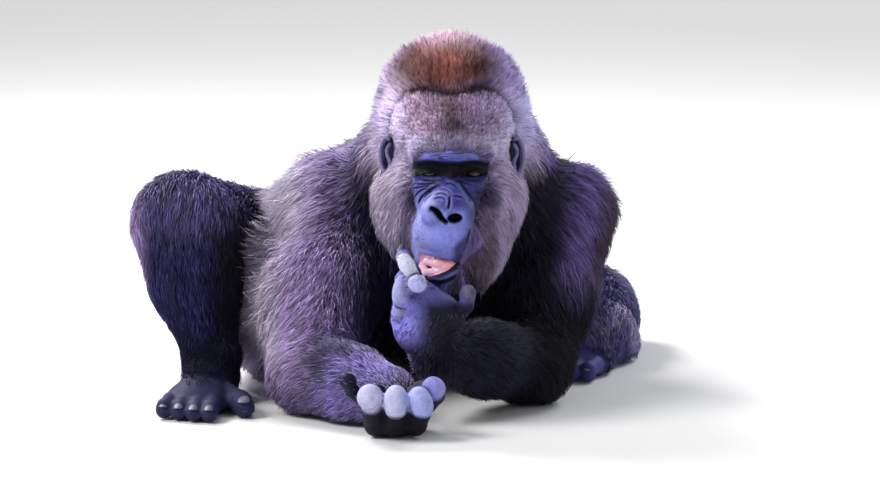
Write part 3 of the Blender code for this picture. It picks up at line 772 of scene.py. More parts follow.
def face_folds():
    """(curve, depth, width) of each crease: they fan out from the nose's root, and ring its wings."""
    beside_cheek = (-0.0250, 0.3142), (-0.0385, 0.3118), (-0.0452, 0.3075)
    beside_cheek += (-0.0502, 0.3004), (-0.0508, 0.2936)
    beside_nose = (-0.0080, 0.3226), (-0.0189, 0.3167), (-0.0277, 0.3118), (-0.0352, 0.3070)
    beside_nose += (-0.0408, 0.3014), (-0.0442, 0.2950), (-0.0452, 0.2870)
    under_left_eye = (0.0040, 0.3262), (0.0111, 0.3205), (0.0173, 0.3128)
    under_left_eye += (0.0223, 0.3054), (0.0285, 0.2975)
    folds = [
        # Under the right eye, from nearly level to the deep one that runs down beside the nose.
        ((-0.0102, 0.3232), (-0.0189, 0.3212), (-0.0314, 0.3206), (-0.0440, 0.3226), 0.0018, 0.0010),
        ((-0.0164, 0.3203), (-0.0264, 0.3180), (-0.0402, 0.3178), (-0.0527, 0.3175), 0.0020, 0.0010),
        ((-0.0264, 0.3160), (-0.0364, 0.3152), (-0.0480, 0.3136), (-0.0545, 0.3096), 0.0016, 0.0010),
        (*beside_cheek, 0.0022, 0.0011),
        (*beside_nose, 0.0042, 0.0015),
        # Under the left eye.
        (*under_left_eye, 0.0036, 0.0013),
        ((0.0080, 0.3244), (0.0136, 0.3203), (0.0211, 0.3173), (0.0330, 0.3158), 0.0020, 0.0010),
        ((0.0105, 0.3242), (0.0186, 0.3212), (0.0311, 0.3204), (0.0425, 0.3208), 0.0016, 0.0010),
        ((0.0300, 0.3090), (0.0380, 0.3060), (0.0425, 0.2990), 0.0010, 0.0012),
        # Over the nose's root and its right wing, and the furrow down its middle.
        ((-0.0102, 0.3206), (-0.0039, 0.3222), (0.0023, 0.3200), (0.0060, 0.3168), 0.0018, 0.0010),
        ((-0.0215, 0.3140), (-0.0102, 0.3164), (-0.0022, 0.3132), (-0.0005, 0.3080), 0.0020, 0.0009),
        ((-0.0245, 0.3095), (-0.0152, 0.3124), (-0.0080, 0.3109), (-0.0045, 0.3070), 0.0018, 0.0009),
        ((-0.0260, 0.3052), (-0.0178, 0.3082), (-0.0110, 0.3070), (-0.0078, 0.3035), 0.0014, 0.0009),
        ((-0.0240, 0.3112), (-0.0302, 0.3074), (-0.0352, 0.3036), (-0.0385, 0.2980), 0.0016, 0.0009),
        ((-0.0036, 0.3106), (-0.0033, 0.3045), (-0.0044, 0.2987), (-0.0060, 0.2930), 0.0042, 0.0014),
        ((0.0010, 0.3095), (0.0084, 0.3087), (0.0150, 0.3060), 0.0014, 0.0009),
        # Beside the nose's left wing, and down the upper lip.
        ((0.0290, 0.2960), (0.0325, 0.2850), (0.0290, 0.2740), 0.0012, 0.0016),
        ((0.0240, 0.2680), (0.0208, 0.2569), (0.0165, 0.2450), 0.0018, 0.0012),
        # The closed lips beyond the open corner, and the crease under the lower lip.
        (*CLOSED_LIPS, 0.0045, 0.0013),
        ((-0.0360, 0.1965), (-0.0150, 0.1955), (0.0050, 0.2040), (0.0180, 0.2110), 0.0030, 0.0024),
    ]
    for count in range(4):
        height = 0.3520 + 0.0032 * count
        reach = 0.040 - 0.004 * count
        ends = (-reach, height - 0.0015), (reach, height - 0.0005)
        folds.append((ends[0], (0.0, height + 0.0010), ends[1], 0.0004, 0.0009))
    return [(smooth_line(*places), depth * FOLD_DEPTH, width) for *places, depth, width in folds]


def fold_marks(points):
    """(how far the folds move the skin, the painted shade in them, the painted highlight on the banks beside
    them) over the face.
    """
    move = np.zeros(len(points))
    shade = np.zeros(len(points))
    banks = np.zeros(len(points))
    for curve, depth, width in face_folds():
        gap, place = off_curve(curve, points)
        fade = ramp(place, 0.0, 0.15) * ramp(place, 1.0, 0.80)
        hollow = bump_at(gap, 0.0, width)
        bank = bump_at(gap, 2.3 * width, 1.1 * width)
        move = np.minimum(move, -depth * fade * hollow) + 0.30 * depth * fade * bank
        # The darkness in each fold is painted shade, and the lightness on its banks a painted highlight.
        shade = np.maximum(shade, fade * hollow * min(1.0, 0.72 + depth / 0.0060))
        banks = np.maximum(banks, fade * bank * min(1.0, depth / 0.0036))
    return move, shade, banks


def inside_shape(corners, points):
    """How far each point lies inside a convex outline, seen from the front. Corners run clockwise."""
    flat = points[:, (0, 2)]
    deepest = np.full(len(flat), 1.0)
    for start, end in zip(corners, corners[1:] + corners[:1]):
        along = np.array(end) - np.array(start)
        inward = np.array((along[1], -along[0])) / np.linalg.norm(along)
        deepest = np.minimum(deepest, (flat - np.array(start)) @ inward)
    return deepest


MOUTH_CORNERS = [
    (-0.0415, 0.2345),
    (-0.0270, 0.2307),
    (0.0056, 0.2200),
    (-0.0045, 0.2138),
    (-0.0174, 0.2083),
    (-0.0320, 0.2034),
    (-0.0368, 0.2083),
    (-0.0428, 0.2157),
    (-0.0438, 0.2250),
]
RIGHT_NOSTRIL = smooth_line(
    (-0.0268, 0.2952),
    (-0.0226, 0.2935),
    (-0.0176, 0.2885),
    (-0.0139, 0.2821),
    (-0.0080, 0.2778),
)


def eye_slit(points, side):
    """How far inside the slit between the lids each point lies, seen from the front."""
    across = (points[:, 0] - side * EYE_X) / (0.0115 + 0.0008 * side)
    middle = EYE_Z - 0.0003 - 0.0012 * across**2 + 0.0008 * side * across
    half = (0.0024 + 0.0004 * side) * np.maximum(1.0 - across**2, 0.0)
    return half - np.abs(points[:, 2] - middle)


def mouth_depth(points):
    """1 well inside the mouth's opening, 0 outside it."""
    front = ramp(points[:, 1], 0.075, 0.060)
    return ramp(inside_shape(MOUTH_CORNERS, points), -0.0003, 0.0022) * front


def nostril_edge(points):
    """How far inside the nearer nostril each point lies, seen from the front."""
    gap, place = off_curve(RIGHT_NOSTRIL, points)
    right = 0.0032 + 0.0010 * np.sin(math.pi * place) - 0.0004 * place - gap
    left = distance(ball((0.0036, 0.0, 0.2826), (0.0100, 0.0500, 0.0065), (0, -4, 0)), points)
    return np.maximum(right, -left)


def nostril_depth(points):
    """1 well inside a nostril, 0 outside them."""
    return ramp(nostril_edge(points), -0.0004, 0.0026) * ramp(points[:, 1], 0.060, 0.040)


def hand_wrinkles(points):
    """How far the skin of the knuckles and finger joints is drawn in by the wrinkles round them."""
    x, _, z = points.T
    move = np.zeros(len(points))
    for place, low in (
        ((-0.1060, -0.0900, 0.0590), 0.0120),
        ((-0.0730, -0.0960, 0.0530), 0.0170),
        ((-0.0400, -0.0940, 0.0535), 0.0170),
        ((-0.0230, -0.0730, 0.0655), 0.0110),
    ):
        offset = np.hypot((x - place[0]) * 1.15, z - place[2])
        under = ramp(place[2] - z, 0.002, 0.009) * near_to(place, points, 0.034)
        wave = np.cos(2 * math.pi * (offset - low) / 0.0034)
        move -= 0.0009 * np.maximum(wave, 0.0) ** 2 * under * ramp(offset, low - 0.0040, low - 0.0010)
    for place, way, spacing, reach in (
        ((-0.0490, -0.0400, 0.2140), (-0.55, 0.0, 0.83), 0.0030, 0.0110),
        ((-0.0655, -0.0300, 0.2385), (-0.55, 0.0, 0.83), 0.0030, 0.0080),
        ((-0.0690, -0.0200, 0.2080), (0.22, 0.0, 0.97), 0.0028, 0.0100),
        ((-0.0710, -0.0100, 0.1765), (0.22, 0.0, 0.97), 0.0028, 0.0080),
        ((-0.0400, -0.0250, 0.1830), (0.50, 0.0, 0.86), 0.0034, 0.0200),
        ((0.0195, -0.0100, 0.1700), (0.10, 0.0, 1.0), 0.0030, 0.0090),
    ):
        way = np.array(way) / np.linalg.norm(way)
        along = (points - np.array(place)) @ way
        wave = np.cos(2 * math.pi * along / spacing + 1.2 * scatter(points, 0.012, 5))
        move -= 0.0008 * np.maximum(wave, 0.0) ** 2 * near_to(place, points, reach * 1.5)
    return move


def carve_skin(made):
    """Opens the lids, nostrils and mouth, and draws the folds and wrinkles into the skin."""
    mesh = made.data
    points = points_of(mesh)
    normals = points_of(mesh, "normal")
    x, y, z = points.T
    front = bareness(points) * ramp(normals[:, 1], 0.15, -0.25) * ramp(y, 0.130, 0.110)
    folds, _, _ = fold_marks(points)
    grain = 0.00022 * scatter(points, 0.0060, 41) * bareness(points)
    hands = hand_wrinkles(points) * ramp(in_hands(points), 0.001, 0.004)
    points += normals * ((folds + grain) * front + hands)[:, None]

    for side in (-1.0, 1.0):
        around = (y > 0.078) * (y < 0.118)
        inside = eye_slit(points, side)
        # A soft rolled margin on each lid, and a bag under it.
        edge = bump_at(inside, -0.0014, 0.0010)
        close = ramp(np.hypot(x - side * EYE_X, z - EYE_Z), 0.0155, 0.0115)
        points[:, 1] -= 0.0010 * edge * close * around
        bag = bump_at(z - 9.0 * (x - side * EYE_X) ** 2, EYE_Z - 0.0078, 0.0020)
        points[:, 1] -= 0.0014 * bag * ramp(np.abs(x - side * EYE_X), 0.016, 0.010) * around
        points[:, 1] += 0.0085 * ramp(inside, -0.0002, 0.0008) * around
    edge = nostril_edge(points)
    swell = bump_at(edge, -0.0042, 0.0026) * ramp(y, 0.050, 0.030)
    points[:, 1] -= 0.0018 * swell * ramp(z, 0.2740, 0.2790)
    points[:, 1] += 0.0170 * nostril_depth(points)
    inside = inside_shape(MOUTH_CORNERS, points)
    lip = bump_at(inside, -0.0032, 0.0026) * ramp(y, 0.075, 0.060) * bareness(points)
    points[:, 1] -= 0.0022 * lip
    points[:, 1] += 0.0170 * mouth_depth(points)
    for side in (-1.0, 1.0):
        # The skin sinks in round the ear.
        away = (points - np.array(EAR) * (side, 1.0, 1.0)) / (0.0110, 0.0170, 0.0250)
        points -= normals * (0.0045 * np.exp(-(away**2).sum(axis=1)))[:, None]
    place_points(mesh, points)


def thinned(made, most):
    """Thins a mesh to about the number of triangles given."""
    thin = made.modifiers.new("thin", "DECIMATE")
    thin.ratio = min(1.0, most / max(1, 2 * len(made.data.polygons)))
    freeze(made)


def make_ear(name, side):
    """One ear, which is joined to the skin."""
    forms = ear_forms(side)
    made = fused(name, forms, 0.0016)

    def field(points):
        return blended(forms, 0.0022, points)

    place_points(made.data, draw_on_to(field, points_of(made.data), 4, 0.001))
    thinned(made, 6000)
    return made


def join(target, others):
    """Adds the meshes of the other objects to the target's, and removes those objects."""
    bm = bmesh.new()
    bm.from_mesh(target.data)
    for other in others:
        bm.from_mesh(other.data)
        mesh = other.data
        bpy.data.objects.remove(other)
        bpy.data.meshes.remove(mesh)
    bm.to_mesh(target.data)
    bm.free()


SKIN_CELL = 0.0106
FLOOR_GAP = 0.0012


def make_skin():
    """The whole skin: a coarse mesh of all forms, refined step by step, drawn on to the field and carved."""
    forms = TRUNK + RIGHT_ARM + LEFT_ARM + RIGHT_LEG + LEFT_LEG
    forms += under_coat(SKULL, 0.010) + under_coat(FACE, 0.001)
    for palm, fingers in (RIGHT_HAND, LEFT_HAND, RIGHT_FOOT, LEFT_FOOT):
        forms += palm + sum(fingers, [])
    made = fused("skin", forms, SKIN_CELL)
    place_points(made.data, draw_on_to(skin_field, points_of(made.data), 3, 0.008))
    for wanted in (fine_parts, finer_parts, finest_parts, creased_parts):
        refine(made, wanted)
        place_points(made.data, draw_on_to(skin_field, points_of(made.data), 2))
    carve_skin(made)
    join(made, [make_ear("right_ear_skin", -1.0), make_ear("left_ear_skin", 1.0)])
    points = points_of(made.data)
    points[:, 2] = np.maximum(points[:, 2], FLOOR_GAP)
    place_points(made.data, points)
    smooth(made)
    return made


def smooth(made):
    """Shades a piece smoothly."""
    made.data.polygons.foreach_set("use_smooth", np.ones(len(made.data.polygons), bool))
    made.data.update()


# ---------------------------------------------------------------- colours


def colour(red, green, blue):
    """A display colour, 0 to 255, as a linear one."""
    value = np.array((red, green, blue)) / 255.0
    return np.where(value <= 0.04045, value / 12.92, ((value + 0.055) / 1.055) ** 2.4)


def mix(base, over, share):
    """The base with the other colour or values over it, as much as share says at each place."""
    return base + (over - base) * np.asarray(share)[:, None]


def fading(one, other, share):
    """A colour for each place that turns from one display colour to another as share rises."""
    return mix(colour(*one)[None], colour(*other), share)


def scatter(points, scale, seed):
    """A soft, repeatable variation between -1 and 1 over the points."""
    rng = np.random.default_rng(seed)
    total = np.zeros(len(points))
    for _ in range(5):
        wave = rng.normal(size=3)
        wave *= (2 * math.pi / scale) * rng.uniform(0.6, 1.5) / np.linalg.norm(wave)
        total += np.sin(points @ wave + rng.uniform(0, 2 * math.pi))
    return np.clip(total / 3.2, -1.0, 1.0)


def leg_marks(points):
    """(the right leg's colour, how much of it shows, the left leg's colour, how much of that shows)."""
    x, y, z = points.T
    body = np.minimum(blended(TRUNK, 0.045, points), blended(RIGHT_ARM, 0.025, points))
    on_right = ramp(body - blended(RIGHT_LEG, 0.025, points), -0.006, 0.006) * ramp(y, 0.52, 0.40)
    # Painted light and shade on the right leg: paler on top and along its outer edge, darker on its inner
    # side and low down.
    right = fading((42, 40, 96), (86, 76, 136), ramp(z, 0.20, 0.28))
    right = mix(right, colour(10, 9, 26), ramp(x, -0.350, -0.305) * ramp(z, 0.28, 0.21))
    right = mix(right, colour(20, 19, 50), ramp(z, 0.14, 0.07))
    right = mix(right, colour(176, 148, 206), ramp(x, -0.405, -0.440))
    on_left = ramp(x, 0.10, 0.16) * ramp(y, 0.42, 0.50) * ramp(z, 0.19, 0.14)
    # Painted sheen: pale bands down the left leg.
    sheen_streak = ramp(scatter(points * (1.0, 0.3, 0.6), 0.040, 13), 0.05, 0.9)
    left = fading((104, 98, 158), (206, 192, 232), 0.8 * sheen_streak)
    return right, on_right, left, on_left


def body_marks(points):
    """Violet grey on the trunk and limbs: pale down the right side as painted rim light, with painted shade
    where the arms and chest meet, behind the cheeks, in the bend of the right arm and low in front of the
    chest.
    """
    x, y, z = points.T
    # Painted rim light: the coat is paler down the right side, most on its outer edge.
    outer = ramp(z, 0.03, 0.10) * ramp(y, 0.50, 0.39) * ramp(x, -0.12, -0.20)
    shade = fading((118, 105, 152), (186, 160, 212), outer)
    strongest_rim_light = ramp(x - 0.055 * ramp(z, 0.20, 0.26), -0.200, -0.245) * ramp(z, 0.06, 0.11)
    shade = mix(shade, colour(244, 234, 252), outer * strongest_rim_light)
    left_side = fading((88, 80, 148), (130, 112, 184), ramp(z, 0.14, 0.18))
    shade = mix(shade, left_side, ramp(x, -0.02, 0.05))
    shade = mix(shade, colour(74, 60, 80), ramp(x, 0.155, 0.195) * ramp(z, 0.12, 0.18))
    # Painted shade where the arms meet the chest.
    inner = ramp(x, -0.150, -0.110) * ramp(x, 0.16, 0.08) * ramp(z, 0.335, 0.300) * ramp(y, 0.44, 0.36)
    shade = mix(shade, colour(38, 35, 70), inner * ramp(y, 0.03, 0.08))
    # Painted shadow on the shoulders' hair beside the cheeks.
    shadow_by_right_cheek = 0.5 * ramp(x, -0.128, -0.108) * ramp(z, 0.25, 0.29)
    shadow_by_cheeks = np.where(x > 0, ramp(x, 0.160, 0.120), shadow_by_right_cheek)
    shadow_by_cheeks *= ramp(y, 0.17, 0.22) * ramp(y, 0.42, 0.35) * ramp(z, 0.350, 0.315)
    shade = mix(shade, colour(22, 18, 38), shadow_by_cheeks)
    forearm = ramp(x, -0.19, -0.15) * ramp(x, -0.055, -0.080) * ramp(y, 0.16, 0.10) * ramp(z, 0.14, 0.11)
    shade = mix(shade, colour(137, 124, 192), forearm)
    # Painted shadow in the bend of the right arm and along a ridge over the forearm.
    crook_shadow = bump_at(x, -0.166, 0.020) * bump_at(y, 0.045, 0.045) * bump_at(z, 0.084, 0.020)
    ridge = ramp(z, 0.080, 0.096) * ramp(z, 0.150, 0.125) * ramp(y, 0.125, 0.095)
    ridge *= ramp(x, -0.190, -0.165) * ramp(x, -0.05, -0.08)
    shade = mix(shade, colour(30, 25, 52), 0.95 * np.maximum(crook_shadow, 0.85 * ridge))
    # Painted shade low in front of the chest, between the arms.
    low = ramp(x, -0.06, -0.01) * ramp(z, 0.20, 0.13) * ramp(y, 0.34, 0.26)
    shade = mix(shade, fading((18, 18, 31), (27, 26, 56), ramp(y, 0.14, 0.08)), low)
    right_leg, on_right, left_leg, on_left = leg_marks(points)
    shade = mix(shade, right_leg, on_right)
    shade = mix(shade, left_leg, on_left)
    back = ramp(y, 0.38, 0.48) * ramp(np.abs(x), 0.26, 0.18) * (1.0 - on_left)
    shade = mix(shade, colour(98, 90, 104), back)
    shade = mix(shade, colour(112, 104, 134), on_left * ramp(y, 0.58, 0.68))
    rump = ramp(y, 0.52, 0.62) * ramp(z, 0.03, 0.10)
    return mix(shade, colour(92, 80, 100), rump * (1.0 - on_left))


def crown_marks(head, points):
    """The head's colour with the rufous crown laid over it, paler at the sides, and at the top as painted rim
    light.
    """
    x, y, z = points.T
    crown = hood(points) * ramp(z, 0.405, 0.430)
    sides = fading((134, 114, 140), (158, 140, 192), ramp(x, 0.0, 0.05))
    head = mix(head, sides, crown * ramp(np.abs(x), 0.100, 0.072))
    red = np.exp(-(((x + 0.010) / 0.064) ** 4) - ((z - 0.452) / 0.030) ** 2)
    rust = fading((62, 27, 22), (130, 66, 54), bump_at(x, -0.005, 0.026))
    head = mix(head, rust, crown * np.clip(1.25 * red, 0, 1) * ramp(y, 0.29, 0.21))
    # Painted rim light: the crown turns paler toward its top edge.
    over_red = ramp(z, 0.462, 0.482) * ramp(np.abs(x), 0.080, 0.060)
    head = mix(head, colour(160, 118, 124), 0.7 * crown * over_red)
    return mix(head, colour(216, 178, 188), crown * ramp(z, 0.482, 0.495))


def head_marks(points):
    """Pale cheeks and sides, the right cheek paler still as painted light, a dusky forehead with a dark
    hollow, the crown, and a dark line between them that is painted shadow in the crease, with painted shade
    under the chin, beside the left lip and behind the cheeks.
    """
    x, y, z = points.T
    head = fading((194, 176, 214), (184, 177, 234), ramp(x, 0.050, 0.095) * ramp(z, 0.33, 0.38))
    # Painted light: the right cheek's pale hair is made paler still.
    right_cheek = ramp(x, -0.052, -0.064) * ramp(z, 0.350, 0.325) * ramp(x, -0.104, -0.090)
    head = mix(head, colour(236, 220, 248), right_cheek)
    head = mix(head, colour(118, 110, 140), ramp(x, -0.070, -0.090) * ramp(z, 0.345, 0.375))
    near_face = ramp(np.abs(x + 0.005), 0.066, 0.048) * ramp(z, 0.325, 0.300)
    head = mix(head, colour(132, 114, 150), near_face)
    # Painted shade on the hair beside the left side of the lips.
    shade_by_left_lip = ramp(np.abs(x - 0.035), 0.022, 0.008) * ramp(z, 0.275, 0.235)
    head = mix(head, colour(100, 86, 100), 0.8 * shade_by_left_lip)
    # Painted shade under the chin.
    shade_under_chin = ramp(np.abs(x - 0.010), 0.034, 0.016) * ramp(z, 0.232, 0.205) * ramp(y, 0.16, 0.10)
    head = mix(head, colour(26, 24, 36), shade_under_chin)
    forehead = (1.0 - hood(points)) * ramp(z, 0.350, 0.366)
    dusky = fading((152, 126, 154), (178, 152, 194), ramp(x, 0.0, 0.04))
    head = mix(head, dusky, forehead * ramp(np.abs(x), 0.080, 0.050))
    hollow = bump_at(x, 0.0, 0.015) * ramp(z, 0.426, 0.412) * ramp(z, 0.372, 0.384)
    head = mix(head, colour(84, 62, 74), forehead * hollow * 0.9)
    over_brow = ramp(z, 0.343, 0.352) * ramp(z, 0.388, 0.368) * (1.0 - hood(points))
    head = mix(head, fading((170, 160, 194), (222, 212, 244), ramp(x, 0.0, 0.03)), over_brow * 0.9)
    head = crown_marks(head, points)
    # Painted shadow along the crease that frames the forehead, weaker at the sides.
    frame_shadow = bump_at(crease_of_hood(points), -0.0005, 0.0062) * ramp(z, 0.335, 0.350)
    head = mix(head, colour(30, 22, 36), frame_shadow * (0.92 - 0.37 * ramp(np.abs(x), 0.078, 0.098)))
    # Painted shadow on the hair behind the cheeks.
    head = mix(head, colour(30, 26, 50), ramp(y, 0.19, 0.235) * ramp(z, 0.345, 0.315))
    return mix(head, colour(112, 100, 116), ramp(y, 0.27, 0.34))


def coat_marks(points):
    """The coat's colour at each place: the same marks for skin and hair."""
    y, z = points[:, 1], points[:, 2]
    on_head = ramp(blended(SKULL, 0.02, points), 0.012, 0.0) * ramp(z, 0.17, 0.20) * ramp(y, 0.40, 0.31)
    shade = mix(body_marks(points), head_marks(points), on_head)
    return shade * (1.0 + 0.14 * scatter(points, 0.045, 3))[:, None]


def muzzle_marks(points):
    """The bare skin's slate blue, with painted highlights over the lip, the brow, the nose's right wing and
    the face's right side, and painted shade on the muzzle's left half and the face's left side.
    """
    x, _, z = points.T
    bridge = ramp(np.abs(x + 0.002), 0.020, 0.008) * ramp(z, 0.300, 0.312)
    bare = fading((48, 50, 116), (54, 54, 126), bridge)
    # Painted highlight over the upper lip.
    upper_lip_highlight = ramp(z, 0.302, 0.284) * ramp(z, 0.215, 0.235) * ramp(x, 0.034, 0.010)
    bare = mix(bare, colour(124, 128, 206), upper_lip_highlight)
    # Painted highlight along the top of the brow.
    bare = mix(bare, colour(122, 126, 212), ramp(z, 0.3480, 0.3520))
    # Painted highlight on the nose's right wing.
    wing = bump_at(x, -0.029, 0.012) * bump_at(z, 0.300, 0.010)
    bare = mix(bare, colour(150, 155, 222), 0.9 * wing)
    # Painted light on the face's right side.
    lit_right_side = ramp(x, -0.020, -0.040) * ramp(z, 0.312, 0.296) * ramp(z, 0.215, 0.230)
    bare = mix(bare, colour(128, 133, 196), lit_right_side)
    shaded = x - np.maximum(-0.0040 + 1.03 * (z - 0.2427), -0.0020)
    bare = mix(bare, colour(58, 57, 104), ramp(shaded, -0.003, 0.009) * ramp(z, 0.276, 0.268))
    # Painted shade on the face's left side.
    return mix(bare, colour(50, 48, 92), ramp(x, 0.020, 0.034) * ramp(z, 0.330, 0.316))


def bare_marks(points):
    """The bare face's colour: darkest in the band across the eyes, dark skin with painted shadow under the
    brow, and as painted shade under the lip, in every fold, in the nostrils and between the closed lips, with
    painted highlights on the folds' banks.
    """
    x, y, z = points.T
    bare = muzzle_marks(points)
    # Dark skin across the eyes, darkened further as painted shadow under the brow.
    arch = 0.3462 + 0.0035 * bump_at(np.abs(x), 0.027, 0.012)
    band = ramp(z - arch, 0.0015, -0.0015) * ramp(z, 0.3242, 0.3272)
    bare = mix(bare, colour(23, 25, 32), band)
    lip_edge = inside_shape(MOUTH_CORNERS, points)
    # Painted shade under the lower lip.
    below = ramp(z, 0.2200, 0.2140) * (y < 0.11)
    bare = mix(bare, colour(24, 22, 40), ramp(lip_edge, -0.0085, -0.0060) * below)
    bare = mix(bare, colour(16, 15, 24), ramp(lip_edge, -0.0066, -0.0100) * below)
    _, folds, banks = fold_marks(points)
    # Painted highlight on the folds' banks, and painted shade in the folds.
    bare = mix(bare, colour(132, 136, 204), banks * 0.60 * ramp(x, 0.030, -0.010))
    bare = mix(bare, colour(8, 9, 32), folds)
    # Painted shade inside the nostrils.
    bare = mix(bare, colour(12, 12, 18), ramp(nostril_edge(points), -0.0022, 0.0016))
    # Painted shade in the line between the closed lips.
    gap, _ = off_curve(smooth_line(*CLOSED_LIPS), points)
    bare = mix(bare, colour(14, 13, 20), ramp(gap, 0.0022, 0.0008) * ramp(y, 0.09, 0.07))
    rim = bump_at(lip_edge, -0.0008, 0.0010) * ramp(y, 0.075, 0.060)
    return mix(bare, colour(160, 120, 160), rim * ramp(x, -0.004, -0.024) * ramp(z, 0.2100, 0.2160) * 0.7)


def between_fingers(points):
    """1 where two fingers, or a finger's two free parts, meet."""
    meeting = np.zeros(len(points))
    near = in_hands(points) > 0.0
    for _, fingers in (RIGHT_HAND, LEFT_HAND):
        gaps = np.stack([blended(finger, 0.004, points[near]) for finger in fingers], axis=1)
        gaps.sort(axis=1)
        second = gaps[:, 1]
        meeting[near] = np.maximum(meeting[near], ramp(second, 0.0034, 0.0012))
    return meeting


def hand_marks(points):
    """Dark palms, pale pads on the fingers, and the lit back of the raised hand, with painted shade under the
    fist, in the wrinkles and where the fingers meet.
    """
    x, y, z = points.T
    back_of_hand = ramp(x, -0.026, -0.060) * ramp(z, 0.100, 0.135) * (y < 0.08)
    hand = fading((26, 25, 45), (140, 136, 230), back_of_hand)
    hand = mix(hand, colour(96, 92, 160), ramp(z, 0.165, 0.185) * (y < 0.08))
    hand = mix(hand, colour(16, 16, 26), ramp(x, -0.034, -0.012) * ramp(z, 0.168, 0.156) * (y < 0.08))
    for place, reach, shade in (
        ((-0.1070, -0.0900, 0.0600), 0.029, (186, 184, 220)),
        ((-0.0730, -0.0960, 0.0560), 0.033, (184, 186, 222)),
        ((-0.0400, -0.0940, 0.0560), 0.033, (160, 166, 224)),
        ((-0.0230, -0.0730, 0.0700), 0.025, (142, 144, 212)),
        ((-0.0450, -0.0440, 0.2030), 0.0190, (176, 178, 234)),
        ((-0.0585, -0.0360, 0.2262), 0.0240, (210, 212, 242)),
        ((-0.0700, -0.0290, 0.1925), 0.0240, (160, 162, 216)),
        ((-0.0720, -0.0150, 0.1640), 0.0180, (146, 146, 204)),
        ((0.0200, -0.0100, 0.1870), 0.0170, (84, 78, 116)),
    ):
        pale = np.clip(near_to(place, points, reach) * 2.2, 0, 1)
        if place[2] < 0.1:
            pale = pale * ramp(z, 0.030, 0.040)
        hand = mix(hand, colour(*shade), pale)
    hand = mix(hand, colour(32, 34, 56), near_to((-0.138, -0.044, 0.072), points, 0.030))
    # Painted shade under the fist, by the floor.
    under = ramp(z, 0.040, 0.030) * ramp(y, 0.00, -0.03) * (x < 0.02)
    hand = mix(hand, colour(20, 20, 32), under)
    # Painted shade in the wrinkles.
    drawn_in = -hand_wrinkles(points) / 0.0007
    hand = mix(hand, colour(34, 34, 74), np.clip(drawn_in, 0, 1) * 0.70)
    # Painted shade where the fingers meet.
    return mix(hand, colour(12, 12, 26), 0.9 * between_fingers(points))


def skin_marks(points):
    """The skin's colour: the coat's marks, darker as painted shade under the hair, where hair covers it, and
    bare skin's own elsewhere.
    """
    x, y, z = points.T
    # Painted shade: the skin under the hair is darkened.
    shade = coat_marks(points) * (0.22 + 0.22 * ramp(y, 0.22, 0.17) * ramp(z, 0.17, 0.20))[:, None]
    shade = mix(shade, bare_marks(points), bareness(points))
    shade = mix(shade, hand_marks(points), ramp(in_hands(points), 0.0005, 0.0045) * (z < 0.25))
    foot = np.minimum(foot_field(RIGHT_FOOT, points), foot_field(LEFT_FOOT, points))
    sole = fading((40, 40, 72), (62, 62, 126), ramp(x, -0.1, 0.1))
    shade = mix(shade, sole, ramp(foot, 0.006, 0.001) * ramp(z, 0.075, 0.050))
    mouth = mouth_depth(points) * bareness(points)
    flesh = fading((252, 190, 212), (255, 222, 244), ramp(x, -0.030, -0.040))
    flesh = mix(flesh, colour(196, 104, 122), ramp(mouth, 0.70, 1.0))
    shade = mix(shade, flesh, ramp(mouth, 0.02, 0.12))
    for side in (-1.0, 1.0):
        away = (points - np.array(EAR) * (side, 1.0, 1.0)) / (1.0, 1.0, 1.45)
        ear = ramp(np.linalg.norm(away, axis=1), 0.0225, 0.0200)
        near = ear > 0.0
        shade = mix(shade, colour(20, 17, 48), ear)
        # Painted highlight along the ears' rims.
        rims = blended(ear_rims(side), 0.0005, points[near])
        shade[near] = mix(shade[near], colour(122, 116, 158), ramp(rims, 0.0022, 0.0006))
        # Painted shade along the lids' edges round each eye slit.
        slit = ramp(eye_slit(points, side), -0.0012, -0.0002) * (y > 0.080) * (y < 0.118)
        shade = mix(shade, colour(16, 12, 14), slit * bareness(points))
    return shade * (1.0 + 0.08 * scatter(points, 0.010, 11))[:, None]


def set_colours(mesh, name, colours):
    """Keeps a linear colour for each vertex on the mesh."""
    layer = mesh.color_attributes.new(name, "FLOAT_COLOR", "POINT")
    values = np.ones((len(mesh.vertices), 4), np.float32)
    values[:, :3] = np.clip(colours, 0.0, 1.0)
    layer.data.foreach_set("color", values.reshape(-1))


# ---------------------------------------------------------------- the coat

GROUPS = {
    "trunk": (TRUNK, 0.045),
    "right_arm": (RIGHT_ARM[:4], 0.025),
    "right_forearm": (RIGHT_ARM[4:], 0.025),
    "left_arm": (LEFT_ARM[:4], 0.025),
    "left_forearm": (LEFT_ARM[4:], 0.025),
    "right_thigh": (RIGHT_LEG[:1], 0.025),
    "right_shin": (RIGHT_LEG[1:], 0.025),
    "left_thigh": (LEFT_LEG[:1], 0.025),
    "left_shin": (LEFT_LEG[1:], 0.025),
}
GROUP_NAMES = [*GROUPS, "head", "hands", "feet"]
DOWN = np.array((0.0, 0.0, -1.0))


def closeness(points):
    """How much each part of the body owns each point: columns in the order of GROUP_NAMES."""
    far = [blended(forms, blend, points) for forms, blend in GROUPS.values()]
    far.append(head_field(points))
    far.append(np.minimum(hand_field(RIGHT_HAND, points), hand_field(LEFT_HAND, points)))
    far.append(np.minimum(foot_field(RIGHT_FOOT, points), foot_field(LEFT_FOOT, points)))
    far = np.stack(far, axis=1)
    weight = np.exp(-(far - far.min(axis=1, keepdims=True)) / 0.009)
    return weight / weight.sum(axis=1, keepdims=True)


def unit(vectors):
    """The same directions, one metre long."""
    return vectors / np.maximum(np.linalg.norm(vectors, axis=1, keepdims=True), 1e-9)


